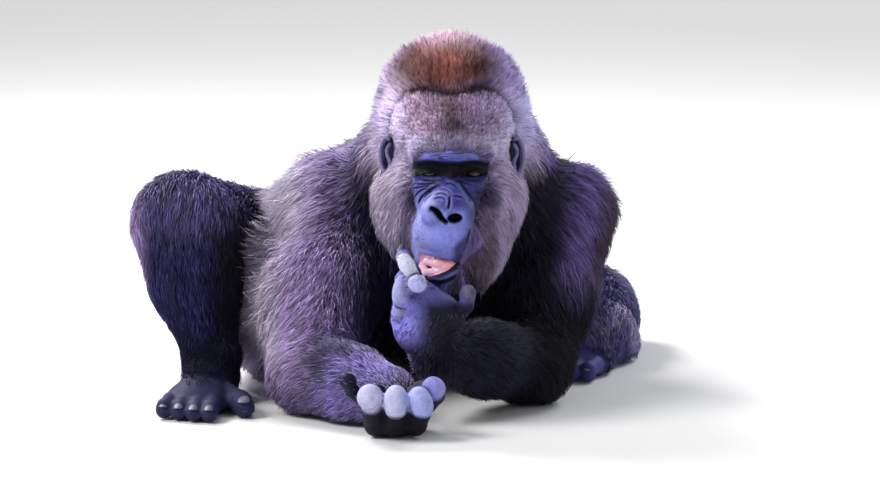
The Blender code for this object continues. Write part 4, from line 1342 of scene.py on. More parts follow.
def ruff_and_fringe(points):
    """(the ruffs of longer hair on both shoulders, the fringe down the right arm and flank)."""
    x, y, z = points.T
    fringe = ramp(x, -0.205, -0.238) * ramp(x, -0.330, -0.290) * ramp(y, 0.14, 0.22) * ramp(z, 0.05, 0.09)
    fringe *= ramp(y, 0.50, 0.44) * ramp(z, 0.24, 0.20)
    out = np.abs(x)
    ruff = ramp(z, 0.225, 0.260) * ramp(out, 0.135, 0.165) * ramp(out, 0.250, 0.215) * ramp(y, 0.50, 0.42)
    return ruff, fringe


def ways_of_parts(points):
    """The way each part's hair lies at each point, in the order of GROUP_NAMES."""
    x, y, z = points.T
    count = len(points)
    none = np.zeros(count)
    side = np.clip((x + 0.05) / 0.16, -1.2, 1.2)
    back = np.stack([0.25 * side, none + 1.0, -0.75 * np.abs(side) - 0.1], axis=1)
    front = np.stack([0.5 * side, none - 0.1, none - 1.0], axis=1)
    ways = [back + (front - back) * ramp(y, 0.36, 0.26)[:, None]]
    for shoulder, elbow, wrist, out in (
        (RIGHT_SHOULDER, RIGHT_ELBOW, RIGHT_WRIST, -0.42),
        (LEFT_SHOULDER, LEFT_ELBOW, LEFT_WRIST, 0.35),
    ):
        ways.append(direction(shoulder, elbow) * 0.70 + DOWN * 0.95 + np.array((out, 0.0, 0.0)))
        ways.append(direction(wrist, elbow) + DOWN * 0.55)
    for hip, knee, ankle, bent in (
        (RIGHT_HIP, RIGHT_KNEE, RIGHT_ANKLE, 0.0),
        (LEFT_HIP, LEFT_KNEE, LEFT_ANKLE, 1.0),
    ):
        hang = bent * np.array((-0.45, 0.0, -0.8))
        ways.append(direction(hip, knee) * (0.8 - 0.5 * bent) + DOWN * 0.6 + hang)
        ways.append(direction(knee, ankle) * (1.0 - 0.7 * bent) + DOWN * 0.2 + hang)
    # The head's hair fans out from the nose's root, swept back behind the crease and hanging on the cheeks.
    hang = ramp(z, 0.40, 0.32) * ramp(np.abs(x), 0.045, 0.075)
    swept = np.stack([none, 0.3 * hood(points), -1.3 * hang], axis=1)
    ways.append(unit(points - np.array((0.0, 0.075, 0.335))) + swept)
    raised = ((x > -0.05) | (z > 0.1))[:, None]
    ways.append(np.where(raised, np.array((-0.3, 0.4, -0.6)), np.array((-0.4, 0.8, 0.3))))
    ways.append(np.array((0.0, -1.0, -0.2)))
    return [unit(np.broadcast_to(way, (count, 3))) for way in ways]


def lie_of_coat(points, owned):
    """The way the hair lies at each point, before it is laid along the skin."""
    x = points[:, 0]
    way = np.zeros((len(points), 3))
    for column, each in enumerate(ways_of_parts(points)):
        way += owned[:, column : column + 1] * each
    ruff, fringe = ruff_and_fringe(points)
    away = np.stack([np.sign(x) * 0.7, -0.2 + 0 * x, 0.30 + 0 * x], axis=1)
    way += (ruff * (1.0 - owned[:, GROUP_NAMES.index("head")]))[:, None] * away
    way += fringe[:, None] * np.array((-0.9, 0.0, -0.1))
    swirl = np.stack([scatter(points, 0.05, seed) for seed in (21, 22, 23)], axis=1)
    return unit(way + 0.16 * swirl)


# (length, width, height of the tips over the skin, how thickly it grows) of the hair on each part.
BODY_HAIR = {
    "trunk": (0.046, 0.0022, 0.0165, 1.0),
    "right_arm": (0.040, 0.0015, 0.0135, 2.0),
    "right_forearm": (0.025, 0.0013, 0.0085, 2.6),
    "left_arm": (0.040, 0.0016, 0.0135, 2.0),
    "left_forearm": (0.026, 0.0013, 0.0085, 2.4),
    "right_thigh": (0.032, 0.0017, 0.0100, 1.4),
    "right_shin": (0.025, 0.0015, 0.0060, 1.9),
    "left_thigh": (0.040, 0.0018, 0.0120, 3.0),
    "left_shin": (0.032, 0.0016, 0.0085, 3.4),
    "hands": (0.008, 0.0008, 0.0016, 1.5),
    "feet": (0.015, 0.0009, 0.0030, 3.4),
}
FOREHEAD_HAIR = (0.0085, 0.00072, 0.0, 11.0)
HOOD_HAIR = (0.027, 0.00105, 0.0, 6.0)
CROWN_HAIR = (0.0215, 0.00095, 0.0, 8.5)
CHEEK_HAIR = (0.026, 0.00125, 0.0, 5.5)
SHAGGY_HAIR = (0.040, 0.00150, 0.0, 5.0)
NAPE_HAIR = (0.038, 0.0015, 0.0, 5.0)
MUZZLE_BRISTLES = (0.0036, 0.0006, 0.0020, 5.0)
# What the ruff, the fringe and the left heel add to the hair there.
RUFF_MORE = (0.020, 0.0002, 0.0175, 0.6)
FRINGE_MORE = (0.020, 0.0001, 0.0220, 3.6)
HEEL_MORE = (0.016, 0.0006, 0.0050, 2.4)


def head_hair(points):
    """The hair's sizes on the head, whose tips stand as high as its coat is deep."""
    x, y, z = points.T
    crown = hood(points) * ramp(z, 0.40, 0.44)
    shaggy = cheek(points) * ramp(np.hypot(x, 0.9 * (z - 0.300)), 0.062, 0.085)
    sizes = np.array(FOREHEAD_HAIR)[None]
    for hair, share in (
        (HOOD_HAIR, hood(points)),
        (CROWN_HAIR, crown),
        (CHEEK_HAIR, cheek(points) * ramp(y, 0.26, 0.20)),
        (SHAGGY_HAIR, shaggy),
        (NAPE_HAIR, ramp(y, 0.24, 0.35)),
    ):
        sizes = mix(sizes, np.array(hair), share)
    sizes[:, 2] = head_coat_depth(points) * (1.02 + 0.14 * crown + 0.60 * shaggy)
    return sizes


def coat_sizes(points, owned):
    """(length, width, height of the tips over the skin, how thickly it grows) at each point."""
    x, y, z = points.T
    part = dict(zip(GROUP_NAMES, owned.T))
    sizes = np.zeros((len(points), 4))
    for name, hair in BODY_HAIR.items():
        sizes += part[name][:, None] * np.array(hair)
    sizes += part["head"][:, None] * head_hair(points)
    ruff, fringe = ruff_and_fringe(points)
    fringe = fringe * (1.0 - part["right_thigh"] - part["right_shin"])
    sizes += ((1.0 - part["head"]) * ruff)[:, None] * np.array(RUFF_MORE)
    sizes += fringe[:, None] * np.array(FRINGE_MORE)
    # Short pale bristles on the right side of the muzzle.
    bristles = bareness(points) * ramp(x, -0.032, -0.042) * ramp(z, 0.222, 0.232) * ramp(z, 0.285, 0.272)
    sizes = mix(sizes, np.array(MUZZLE_BRISTLES), np.clip(bristles, 0.0, 1.0))
    # The hair shortens towards the bare face, and none grows on it or under the feet.
    sizes[:, 0] *= 0.60 + 0.40 * ramp(bareness(points), 0.5, 0.0)
    sizes[:, 3] *= np.maximum(ramp(bareness(points), 0.80, 0.25), 0.45 * bristles)
    heel = ramp(x, 0.0, 0.1) * ramp(y, 0.385, 0.425)
    sizes[:, 3] *= 1.0 - part["feet"] * ramp(z, 0.056 - 0.030 * heel, 0.042 - 0.030 * heel)
    sizes += (part["feet"] * heel)[:, None] * np.array(HEEL_MORE)
    return sizes


def bare_hands(points):
    """1 where the hands are too bare for tufts: the fist but for its top, and the raised fingers."""
    _, y, z = points.T
    pads = np.minimum(hand_field(RIGHT_HAND, points), hand_field(LEFT_HAND, points))
    right = ramp(y, 0.000, -0.020) * (z < 0.12)
    right *= 1.0 - ramp(z, 0.046, 0.054) * ramp(y, -0.058, -0.048)
    fingers = ramp(z, 0.150, 0.170) * (y < 0.09) * (z < 0.25)
    return ramp(pads, 0.004, 0.001) * np.maximum(right, fingers)


def coat_roots(skin):
    """Root places spread over the skin for each coat piece, more where the hair grows more thickly."""
    mesh = skin.data
    mesh.calc_loop_triangles()
    corners = np.empty(len(mesh.loop_triangles) * 3, np.int32)
    mesh.loop_triangles.foreach_get("vertices", corners)
    corners = corners.reshape(-1, 3)
    points = points_of(mesh)
    a, b, c = points[corners[:, 0]], points[corners[:, 1]], points[corners[:, 2]]
    cross = np.cross(b - a, c - a)
    area = np.linalg.norm(cross, axis=1) / 2
    facing = unit(cross)
    middle = (a + b + c) / 3
    owned = closeness(middle)
    sizes = coat_sizes(middle, owned)
    growth = sizes[:, 3] * (1.0 - bare_hands(middle))
    growth *= ramp(middle[:, 2] + 0.03 * (facing[:, 2] + 1.0), 0.012, 0.030)
    growth *= 1.0 - 0.45 * ramp(facing[:, 1], 0.0, 0.7)
    for side in (-1.0, 1.0):
        ear = (middle - np.array(EAR) * (side, 1.0, 1.0)) / (0.015, 0.016, 0.027)
        growth *= ramp(np.linalg.norm(ear, axis=1), 0.95, 1.15)
    pieces = piece_of(middle, owned)
    rng = np.random.default_rng(7)
    found = {}
    for index, (name, counts) in enumerate(COAT_PIECES.items()):
        weight = area * growth * (pieces == index)
        count = sum(counts)
        chosen = rng.choice(len(area), size=count, p=weight / weight.sum())
        u, v = rng.random(count), rng.random(count)
        over = u + v > 1.0
        u[over], v[over] = 1.0 - u[over], 1.0 - v[over]
        places = a[chosen] + u[:, None] * (b - a)[chosen] + v[:, None] * (c - a)[chosen]
        found[name] = (places, facing[chosen])
    return found


# How many straight and how many bent tufts each piece of the coat has.
COAT_PIECES = {
    "coat_crown": (35000, 3000),
    "coat_right_cheek": (35000, 3500),
    "coat_left_cheek": (35000, 3500),
    "coat_right_arm": (26000, 8500),
    "coat_left_arm": (24000, 8000),
    "coat_back": (24000, 8500),
    "coat_rump_and_left_leg": (22000, 8500),
    "coat_right_leg": (24000, 7500),
}


def piece_of(points, owned):
    """Which coat piece each point belongs to, as its place in COAT_PIECES."""
    x, y, z = points.T
    part = dict(zip(GROUP_NAMES, owned.T))
    feet = part["feet"] > 0.5
    hands = part["hands"] > 0.5
    fist = (z < 0.1) & (x < 0.01) & (y < 0.02)
    head = part["head"] > 0.45
    order = list(COAT_PIECES)
    piece = np.full(len(points), order.index("coat_back"))
    for name, where in (
        ("coat_rump_and_left_leg", y > 0.56),
        ("coat_rump_and_left_leg", part["left_thigh"] + part["left_shin"] > 0.5),
        ("coat_right_leg", part["right_thigh"] + part["right_shin"] > 0.5),
        ("coat_right_leg", feet & (x < -0.1)),
        ("coat_rump_and_left_leg", feet & (x >= -0.1)),
        ("coat_right_arm", part["right_arm"] + part["right_forearm"] > 0.5),
        ("coat_left_arm", part["left_arm"] + part["left_forearm"] > 0.5),
        ("coat_right_arm", hands & fist),
        ("coat_left_arm", hands & ~fist),
        ("coat_right_cheek", head & (x < 0.0)),
        ("coat_left_cheek", head & (x >= 0.0)),
        ("coat_crown", head & (z > 0.425) & (hood(points) > 0.3)),
    ):
        piece[where] = order.index(name)
    return piece


def unwrapped(name, places):
    """A place on a flat layout of the skin for each root: round the part's own long axis, and along it."""
    axes = {
        "coat_right_arm": (RIGHT_SHOULDER, RIGHT_ELBOW),
        "coat_left_arm": (LEFT_SHOULDER, LEFT_ELBOW),
        "coat_right_leg": (RIGHT_HIP, RIGHT_KNEE),
        "coat_back": (NAPE, ABDOMEN),
        "coat_rump_and_left_leg": (ABDOMEN, LEFT_KNEE),
    }
    start, end = axes.get(name, ((0.0, 0.20, 0.20), (0.0, 0.24, 0.45)))
    along = direction(start, end)
    across = direction((0.0, 0.0, 0.0), np.cross(along, (0.31, 0.17, 0.93)))
    local = places - np.array(start)
    turn = np.arctan2(local @ across, local @ np.cross(along, across))
    flat = np.stack([turn, local @ along], axis=1)
    flat -= flat.min(axis=0)
    return 0.01 + 0.98 * flat / flat.max(axis=0)


def gathered(tips, roots, cell, pull, rng):
    """Draws each tip part of the way to its neighbours' mean tip, so the hair falls in small locks."""
    keys = np.floor((roots + cell * 0.3 * rng.normal(size=roots.shape)) / cell).astype(np.int64)
    keys = keys @ np.array((1, 10007, 100000007))
    _, lock = np.unique(keys, return_inverse=True)
    size = np.bincount(lock)
    mean = np.stack([np.bincount(lock, tips[:, axis]) / size for axis in range(3)], axis=1)
    shade = 1.0 + 0.27 * rng.normal(size=len(size))
    return tips + pull * (mean[lock] - tips), shade[lock]


# The faces of a tuft. The first three vertices ring its root, and the last is its tip.
STRAIGHT = np.array([(0, 1, 2), (0, 3, 1), (1, 3, 2), (2, 3, 0)])
# A bent tuft has three more vertices round its middle.
BENT = np.array(
    [
        (0, 1, 2),
        *((0, 3, 4), (0, 4, 1), (1, 4, 5), (1, 5, 2), (2, 5, 3), (2, 3, 0)),
        *((3, 6, 4), (4, 6, 5), (5, 6, 3)),
    ]
)
ROOT_DEPTH = 0.0008
LOWEST_HAIR = 0.002
PATCH = 0.003


def ring(centre, sideways, up, half):
    """Three vertices round each centre."""
    half = half[:, None]
    return [centre - sideways * half, centre + sideways * half, centre + up * half * 0.8]


def tuft_sizes(places, owned, is_bent, crown, rng):
    """(length, width, height of the tip over the skin) of each tuft, all varied a little."""
    count = len(places)
    sizes = coat_sizes(places, owned)
    length = sizes[:, 0] * rng.uniform(0.62, 1.10, count) * np.where(is_bent, 1.22, 1.0)
    width = sizes[:, 1] * rng.uniform(0.75, 1.30, count) * np.where(is_bent, 1.15, 1.0)
    height = sizes[:, 2] * rng.uniform(0.50, 1.08, count)
    height *= 1.0 + 0.22 * crown * rng.uniform(-1.0, 1.0, count)
    height *= 1.0 + (1.0 - bareness(places)) * 0.35 * rng.uniform(-1.0, 1.0, count) * (1.0 - crown)
    stray = rng.random(count) < 0.03 + 0.05 * crown
    width[stray] *= 0.6
    height[stray] *= 1.25
    return length, width, height


def tuft_lines(places, normals, owned, is_bent, crown, rng):
    """(middles of the bent tufts, tips of all, widths, shade of each one's lock), laid over the skin."""
    count = len(places)
    length, width, height = tuft_sizes(places, owned, is_bent, crown, rng)
    reach = np.sqrt(np.maximum(length**2 - height**2, (0.3 * length) ** 2))[:, None]
    way = lie_of_coat(places, owned) + 0.13 * rng.normal(size=(count, 3))
    way = unit(way - normals * (way * normals).sum(axis=1, keepdims=True))
    tip = places + way * reach
    middle = places[is_bent] + way[is_bent] * reach[is_bent] * 0.48
    middle = place_over_skin(middle, height[is_bent] * 0.68)
    onward = lie_of_coat(middle, owned[is_bent]) + 0.10 * rng.normal(size=middle.shape)
    tip[is_bent] = middle + unit(onward + way[is_bent] * 0.8) * reach[is_bent] * 0.52
    tip = place_over_skin(tip, height)
    on_head = owned[:, GROUP_NAMES.index("head")]
    cell = 0.0110 - 0.0050 * on_head + 0.0030 * crown + 0.0025 * cheek(places) * on_head
    tip, lock_shade = gathered(tip, places, cell[:, None], 0.50, rng)
    drawn = tip - places
    longest = 1.15 * length / np.maximum(np.linalg.norm(drawn, axis=1), 1e-9)
    tip = places + drawn * np.minimum(1.0, longest)[:, None]
    tip[:, 2] = np.maximum(tip[:, 2], LOWEST_HAIR)
    middle[:, 2] = np.maximum(middle[:, 2], LOWEST_HAIR)
    return middle, tip, width, lock_shade


def tuft_mesh(name, vertices, faces):
    """A mesh of all the tufts of a piece."""
    mesh = bpy.data.meshes.new(name)
    mesh.vertices.add(len(vertices))
    mesh.vertices.foreach_set("co", vertices.reshape(-1))
    mesh.loops.add(len(faces) * 3)
    mesh.loops.foreach_set("vertex_index", faces.reshape(-1).astype(np.int32))
    mesh.polygons.add(len(faces))
    mesh.polygons.foreach_set("loop_start", np.arange(0, len(faces) * 3, 3, dtype=np.int32))
    mesh.polygons.foreach_set("use_smooth", np.ones(len(faces), bool))
    mesh.update(calc_edges=True)
    return mesh


def tuft_shades(places, tip, owned, shade, straight):
    """A colour for each vertex: dark at the root as painted shade deep in the coat, the coat's own colour
    toward the tip.
    """
    base = below_white(coat_marks(places) * np.clip(shade, 0.35, 1.8)[:, None])
    part = dict(zip(GROUP_NAMES, owned.T))
    tips = below_white(coat_tip_marks(base, tip, part["right_thigh"] + part["right_shin"]))
    # Painted shade: the roots are darkened, less where the hair is pale.
    dark = base * (0.26 + 0.30 * ramp(base.mean(axis=1), 0.35, 0.75))[:, None]
    middles = dark * 0.35 + tips * 0.65
    short = np.stack([dark, dark, dark, tips], axis=1)[:straight]
    long = np.stack([dark, dark, dark, middles, middles, middles, tips], axis=1)[straight:]
    return np.concatenate([short.reshape(-1, 3), long.reshape(-1, 3)])


def tuft_patches(name, places, straight):
    """A small patch for each tuft at its root's place on the skin's flat layout."""
    flat = unwrapped(name, places)[:, None]
    low = PATCH * np.array([(-0.5, 0.0), (0.5, 0.0), (0.0, 0.25)])
    high = PATCH * np.array([(-0.4, 0.5), (0.4, 0.5), (0.0, 0.6)])
    top = PATCH * np.array([(0.0, 1.0)])
    short = flat[:straight] + np.concatenate([low, top])[None]
    long = flat[straight:] + np.concatenate([low, high, top])[None]
    return np.concatenate([short.reshape(-1, 2), long.reshape(-1, 2)])


def make_coat(name, places, normals, seed):
    """One coat piece: a closed, three-sided tuft from each root. The first are straight, the rest bent."""
    rng = np.random.default_rng(seed)
    straight, bent = COAT_PIECES[name]
    is_bent = np.arange(len(places)) >= straight
    owned = closeness(places)
    crown = hood(places) * ramp(places[:, 2], 0.40, 0.44)
    middle, tip, width, lock_shade = tuft_lines(places, normals, owned, is_bent, crown, rng)

    toward = tip.copy()
    toward[is_bent] = middle
    first = unit(toward - places)
    sideways = unit(np.cross(first, normals))
    up = np.cross(sideways, first)
    base = ring(places - normals * ROOT_DEPTH, sideways, up, width / 2)
    short = np.stack([*(each[~is_bent] for each in base), tip[~is_bent]], axis=1)
    waist = ring(middle, sideways[is_bent], up[is_bent], width[is_bent] * 0.40)
    long = np.stack([*(each[is_bent] for each in base), *waist, tip[is_bent]], axis=1)
    vertices = np.concatenate([short.reshape(-1, 3), long.reshape(-1, 3)])
    short_faces = np.arange(straight)[:, None, None] * 4 + STRAIGHT[None]
    long_faces = straight * 4 + np.arange(bent)[:, None, None] * 7 + BENT[None]
    faces = np.concatenate([short_faces.reshape(-1, 3), long_faces.reshape(-1, 3)])
    mesh = tuft_mesh(name, vertices, faces)

    shade = (1.0 + 0.22 * rng.normal(size=len(places))) * lock_shade
    set_colours(mesh, "coat_colour", tuft_shades(places, tip, owned, shade, straight))
    patches = tuft_patches(name, places, straight)
    layer = mesh.uv_layers.new(name="OFBake")
    layer.data.foreach_set("uv", patches[faces.reshape(-1)].reshape(-1).astype(np.float32))
    made = bpy.data.objects.new(name, mesh)
    bpy.context.scene.collection.objects.link(made)
    return made


def place_over_skin(points, height):
    """Moves points along the skin's slope to the wanted height over it."""
    level = skin_field(points)
    slope = slope_of(skin_field, points, level)
    steep = np.maximum((slope**2).sum(axis=1), 0.4)
    points = points - ((level - height) / steep)[:, None] * slope
    return points - ((skin_field(points) - height) / steep)[:, None] * slope


def below_white(shades):
    """Keeps each shade's hue where it would be too bright to show."""
    return shades / np.maximum(1.0, shades.max(axis=1, keepdims=True) / 0.95)


def coat_tip_marks(base, tips, on_leg):
    """Paler tips, partly the hair's own colour and partly painted light: painted rim light most on the head's
    rim, the shoulders and the outer side of the right arm.
    """
    x, y, z = tips.T
    # Tips a little paler everywhere, and paler on the right side up to the shoulders as painted light.
    pale = 0.10 + 0.20 * ramp(z, 0.10, 0.30) * ramp(x, 0.02, -0.06) * ramp(z, 0.420, 0.390)
    # Painted rim light on the fringe down the flank and the right arm, but not on the leg.
    outer = ramp(x, -0.20, -0.26) * ramp(x, -0.33, -0.30) * ramp(y, 0.14, 0.26) * ramp(z, 0.04, 0.09)
    pale += 1.50 * outer * (1.0 - on_leg)
    # Painted rim light along the crown's top, the cheeks' outer edges and the right leg's outer edge.
    pale += 0.75 * ramp(z, 0.482, 0.505)
    pale += 0.25 * ramp(np.abs(x), 0.088, 0.105) * ramp(z, 0.25, 0.28) * ramp(y, 0.30, 0.25)
    pale += 0.40 * ramp(x, -0.42, -0.45)
    pale *= 0.15 + 0.85 * ramp(base.mean(axis=1), 0.01, 0.12)
    return base * 1.3 + (colour(214, 204, 232) - base) * np.minimum(pale * 0.40, 0.8)[:, None]


# ---------------------------------------------------------------- materials


def new_material(name, roughness, specular=0.5):
    """(a material, its nodes, its shader)."""
    material = bpy.data.materials.new(name)
    material.use_nodes = True
    shader = material.node_tree.nodes["Principled BSDF"]
    shader.inputs["Roughness"].default_value = roughness
    shader.inputs["Specular IOR Level"].default_value = specular
    return material, material.node_tree, shader


def noise(tree, scale, detail=3.0, roughness=0.55):
    """A cloudy pattern in the piece's own coordinates."""
    node = tree.nodes.new("ShaderNodeTexNoise")
    node.inputs["Scale"].default_value = scale
    node.inputs["Detail"].default_value = detail
    node.inputs["Roughness"].default_value = roughness
    coordinates = tree.nodes.new("ShaderNodeTexCoord")
    tree.links.new(coordinates.outputs["Object"], node.inputs["Vector"])
    return node


def bump(tree, shader, height, strength, depth, before=None):
    """Raises the surface by a pattern, over another bump if one is given."""
    node = tree.nodes.new("ShaderNodeBump")
    node.inputs["Strength"].default_value = strength
    node.inputs["Distance"].default_value = depth
    tree.links.new(height, node.inputs["Height"])
    if before is not None:
        tree.links.new(before.outputs["Normal"], node.inputs["Normal"])
    tree.links.new(node.outputs["Normal"], shader.inputs["Normal"])
    return node


def spread(tree, value, low, high, start=0.0, end=1.0):
    """Spreads a value that runs from start to end over low to high."""
    node = tree.nodes.new("ShaderNodeMapRange")
    for socket, each in (("From Min", start), ("From Max", end), ("To Min", low), ("To Max", high)):
        node.inputs[socket].default_value = each
    tree.links.new(value, node.inputs["Value"])
    return node.outputs["Result"]


def vector_math(tree, operation, first, second):
    """A vector worked on, axis by axis, by three constants."""
    node = tree.nodes.new("ShaderNodeVectorMath")
    node.operation = operation
    tree.links.new(first, node.inputs[0])
    node.inputs[1].default_value = second
    return node


def painted(tree, shader, layer, amount):
    """The colours held on the mesh, made lighter and darker by an amount, as the shader's colour."""
    tint = tree.nodes.new("ShaderNodeVertexColor")
    tint.layer_name = layer
    scaled = tree.nodes.new("ShaderNodeVectorMath")
    scaled.operation = "SCALE"
    tree.links.new(tint.outputs["Color"], scaled.inputs[0])
    tree.links.new(amount, scaled.inputs["Scale"])
    tree.links.new(scaled.outputs["Vector"], shader.inputs["Base Color"])


def skin_material():
    """Bare skin: fine pores and crossing creases, painted a little darker in them as shade, with a dull
    sheen.
    """
    material, tree, shader = new_material("bare_skin", 0.58, 0.14)
    coordinates = tree.nodes.new("ShaderNodeTexCoord")
    warp = noise(tree, 70.0)
    bent = vector_math(tree, "MULTIPLY_ADD", warp.outputs["Color"], (0.010, 0.010, 0.010))
    tree.links.new(coordinates.outputs["Object"], bent.inputs[2])
    stretched = vector_math(tree, "MULTIPLY", bent.outputs["Vector"], (0.55, 0.8, 1.25))
    creases = tree.nodes.new("ShaderNodeTexVoronoi")
    creases.feature = "DISTANCE_TO_EDGE"
    creases.inputs["Scale"].default_value = 360.0
    tree.links.new(stretched.outputs["Vector"], creases.inputs["Vector"])
    # Painted shade: the colour darkens in the fine creases.
    depth = spread(tree, creases.outputs["Distance"], 0.78, 1.0, 0.0, 0.14)
    mottle = spread(tree, noise(tree, 130.0, 4.0, 0.6).outputs["Fac"], 0.88, 1.12, 0.3, 0.7)
    both = tree.nodes.new("ShaderNodeMath")
    both.operation = "MULTIPLY"
    tree.links.new(depth, both.inputs[0])
    tree.links.new(mottle, both.inputs[1])
    painted(tree, shader, "skin_colour", both.outputs["Value"])
    pores = noise(tree, 260.0, 4.0, 0.6)
    first = bump(tree, shader, pores.outputs["Fac"], 0.45, 0.0006)
    bump(tree, shader, depth, 0.50, 0.0006, first)
    return material


def coat_material():
    """Hair: the tufts' own colours with finer strands in them, and a soft sheen."""
    material, tree, shader = new_material("coat_hair", 0.56, 0.22)
    strands = noise(tree, 900.0, 2.0)
    painted(tree, shader, "coat_colour", spread(tree, strands.outputs["Fac"], 0.82, 1.14, 0.3, 0.7))
    return material


def eye_material():
    """Brown iris round a black pupil, dark sclera, under a wet surface."""
    material, tree, shader = new_material("eye", 0.10, 0.4)
    fibres = noise(tree, 1400.0)
    painted(tree, shader, "eye_colour", spread(tree, fibres.outputs["Fac"], 0.6, 1.5))
    shader.inputs["Coat Weight"].default_value = 0.45
    shader.inputs["Coat Roughness"].default_value = 0.03
    return material


def flesh_material():
    """The wet, finely mottled finish of the mouth's inside."""
    material, tree, shader = new_material("wet_flesh", 0.30)
    mottle = noise(tree, 420.0)
    painted(tree, shader, "flesh_colour", spread(tree, mottle.outputs["Fac"], 0.78, 1.18))
    bump(tree, shader, mottle.outputs["Fac"], 0.25, 0.0004)
    shader.inputs["Coat Weight"].default_value = 0.6
    shader.inputs["Coat Roughness"].default_value = 0.12
    return material


def nail_material():
    """Grey nail with a fine mottle and grain."""
    material, tree, shader = new_material("nail", 0.48)
    mottle = noise(tree, 260.0)
    shades = tree.nodes.new("ShaderNodeValToRGB")
    shade = colour(84, 80, 102)
    for end, position, share in zip(shades.color_ramp.elements, (0.35, 0.65), (0.75, 1.25)):
        end.position = position
        end.color = (*(shade * share), 1.0)
    tree.links.new(mottle.outputs["Fac"], shades.inputs["Fac"])
    tree.links.new(shades.outputs["Color"], shader.inputs["Base Color"])
    bump(tree, shader, mottle.outputs["Fac"], 0.25, 0.0004)
    return material


# ---------------------------------------------------------------- eyes, mouth and nails


# How far from the middle of the gaze, in radians, each ring of the eye ends: pupil, iris, its rim, sclera.
EYE_RINGS = [
    (0.20, colour(8, 6, 7)),
    (0.56, colour(42, 31, 23)),
    (0.62, colour(20, 12, 10)),
    (math.inf, colour(50, 42, 38)),
]


def make_eye(name, side):
    """A globe with a raised cornea, looking forward and a little down."""
    bm = bmesh.new()
    place = Matrix.Rotation(math.pi / 2, 4, "X")
    bmesh.ops.create_uvsphere(bm, u_segments=48, v_segments=32, radius=EYE_RADIUS, matrix=place)
    gaze = Vector((-side * 0.03, -1.0, -0.10)).normalized()
    colours = []
    for vert in bm.verts:
        turn = vert.co.normalized().angle(gaze)
        vert.co *= 1.0 + 0.045 * max(0.0, 1.0 - (turn / 0.60) ** 2)
        colours.append(next(shade for edge, shade in EYE_RINGS if turn < edge))
        vert.co += Vector((side * EYE_X, EYE_Y, EYE_Z))
    made = new_object(name, bm)
    set_colours(made.data, "eye_colour", np.array(colours))
    smooth(made)
    return made


def rounded(name, forms, cell, blend, most):
    """A small closed piece from blended forms."""
    made = fused(name, forms, cell)

    def field(points):
        return blended(forms, blend, points)

    place_points(made.data, draw_on_to(field, points_of(made.data), 4, cell))
    thinned(made, most)
    smooth(made)
    return made


def make_tongue():
    """The tongue's tip, seen in the open corner of the mouth."""
    forms = chain([(-0.0330, 0.0235, 0.2235), (-0.0190, 0.0190, 0.2205), (-0.0040, 0.0205, 0.2180)], 0.0066)
    forms.append(limb((-0.0030, 0.0200, 0.2195), (0.0035, 0.0250, 0.2190), 0.0042, 0.0024))
    forms.append(ball((-0.0200, 0.0400, 0.2215), (0.0180, 0.0240, 0.0060), (0, 18, 0)))
    return rounded("tongue_tip", forms, 0.0012, 0.003, 4200)


def make_gums():
    """The lower gum and cheek lining, and the upper gum behind the lip."""
    lower = chain([(-0.0400, 0.0230, 0.2180), (-0.0345, 0.0190, 0.2085), (-0.0190, 0.0170, 0.2112)], 0.0046)
    lower += [limb((-0.0190, 0.0170, 0.2112), (-0.0040, 0.0200, 0.2160), 0.0042, 0.0026)]
    upper = chain([(-0.0408, 0.0240, 0.2240), (-0.0390, 0.0240, 0.2312), (-0.0290, 0.0210, 0.2312)], 0.0036)
    return rounded("gums", lower + upper, 0.0012, 0.003, 5200)


def make_tooth(bm, place, height, half_width, down):
    """A rounded, slightly flattened peg."""
    way = -1.0 if down else 1.0
    matrix = Matrix.Translation(place) @ Matrix.Diagonal((half_width, half_width * 0.7, height, 1.0))
    made = bmesh.ops.create_uvsphere(bm, u_segments=16, v_segments=12, radius=1.0, matrix=matrix)
    for vert in made["verts"]:
        local = (vert.co.z - place[2]) / height * way
        vert.co.x = place[0] + (vert.co.x - place[0]) * (1.0 - 0.18 * max(local, 0.0))


def make_teeth():
    """Three upper and three lower teeth at the open corner."""
    bm = bmesh.new()
    for count in range(3):
        step = 0.0066 * count
        make_tooth(bm, (-0.0325 + step, 0.0178, 0.2300 - 0.0020 * count), 0.0026, 0.0028, True)
        make_tooth(bm, (-0.0250 + step, 0.0150, 0.2140 + 0.0016 * count), 0.0024, 0.0025, False)
    made = new_object("teeth", bm)
    smooth(made)
    return made


def flesh_marks(points):
    """Pale pink at the right corner, running to salmon at the left one, paler again low down."""
    x, y, z = points.T
    shade = fading((255, 200, 220), (248, 168, 168), ramp(x, -0.030, -0.010))
    shade = mix(shade, colour(244, 214, 234), ramp(z - 0.30 * x, 0.2225, 0.2180) * ramp(x, -0.002, -0.012))
    shade = mix(shade, colour(196, 100, 122), ramp(y, 0.030, 0.042))
    return shade


def make_nail(bm, place, out, along, half_width, half_length):
    """A thin curved plate: a flattened ball, bent round the finger's tip."""
    out = Vector(out).normalized()
    along = Vector(along).normalized()
    across = out.cross(along).normalized()
    along = across.cross(out)
    turn = Matrix((across, along, out)).transposed().to_4x4()
    matrix = Matrix.Translation(place) @ turn @ Matrix.Diagonal((half_width, half_length, 0.0011, 1.0))
    made = bmesh.ops.create_uvsphere(bm, u_segments=20, v_segments=12, radius=1.0, matrix=matrix)
    for vert in made["verts"]:
        side = (vert.co - Vector(place)).dot(across) / half_width
        vert.co -= out * 0.0022 * side * side


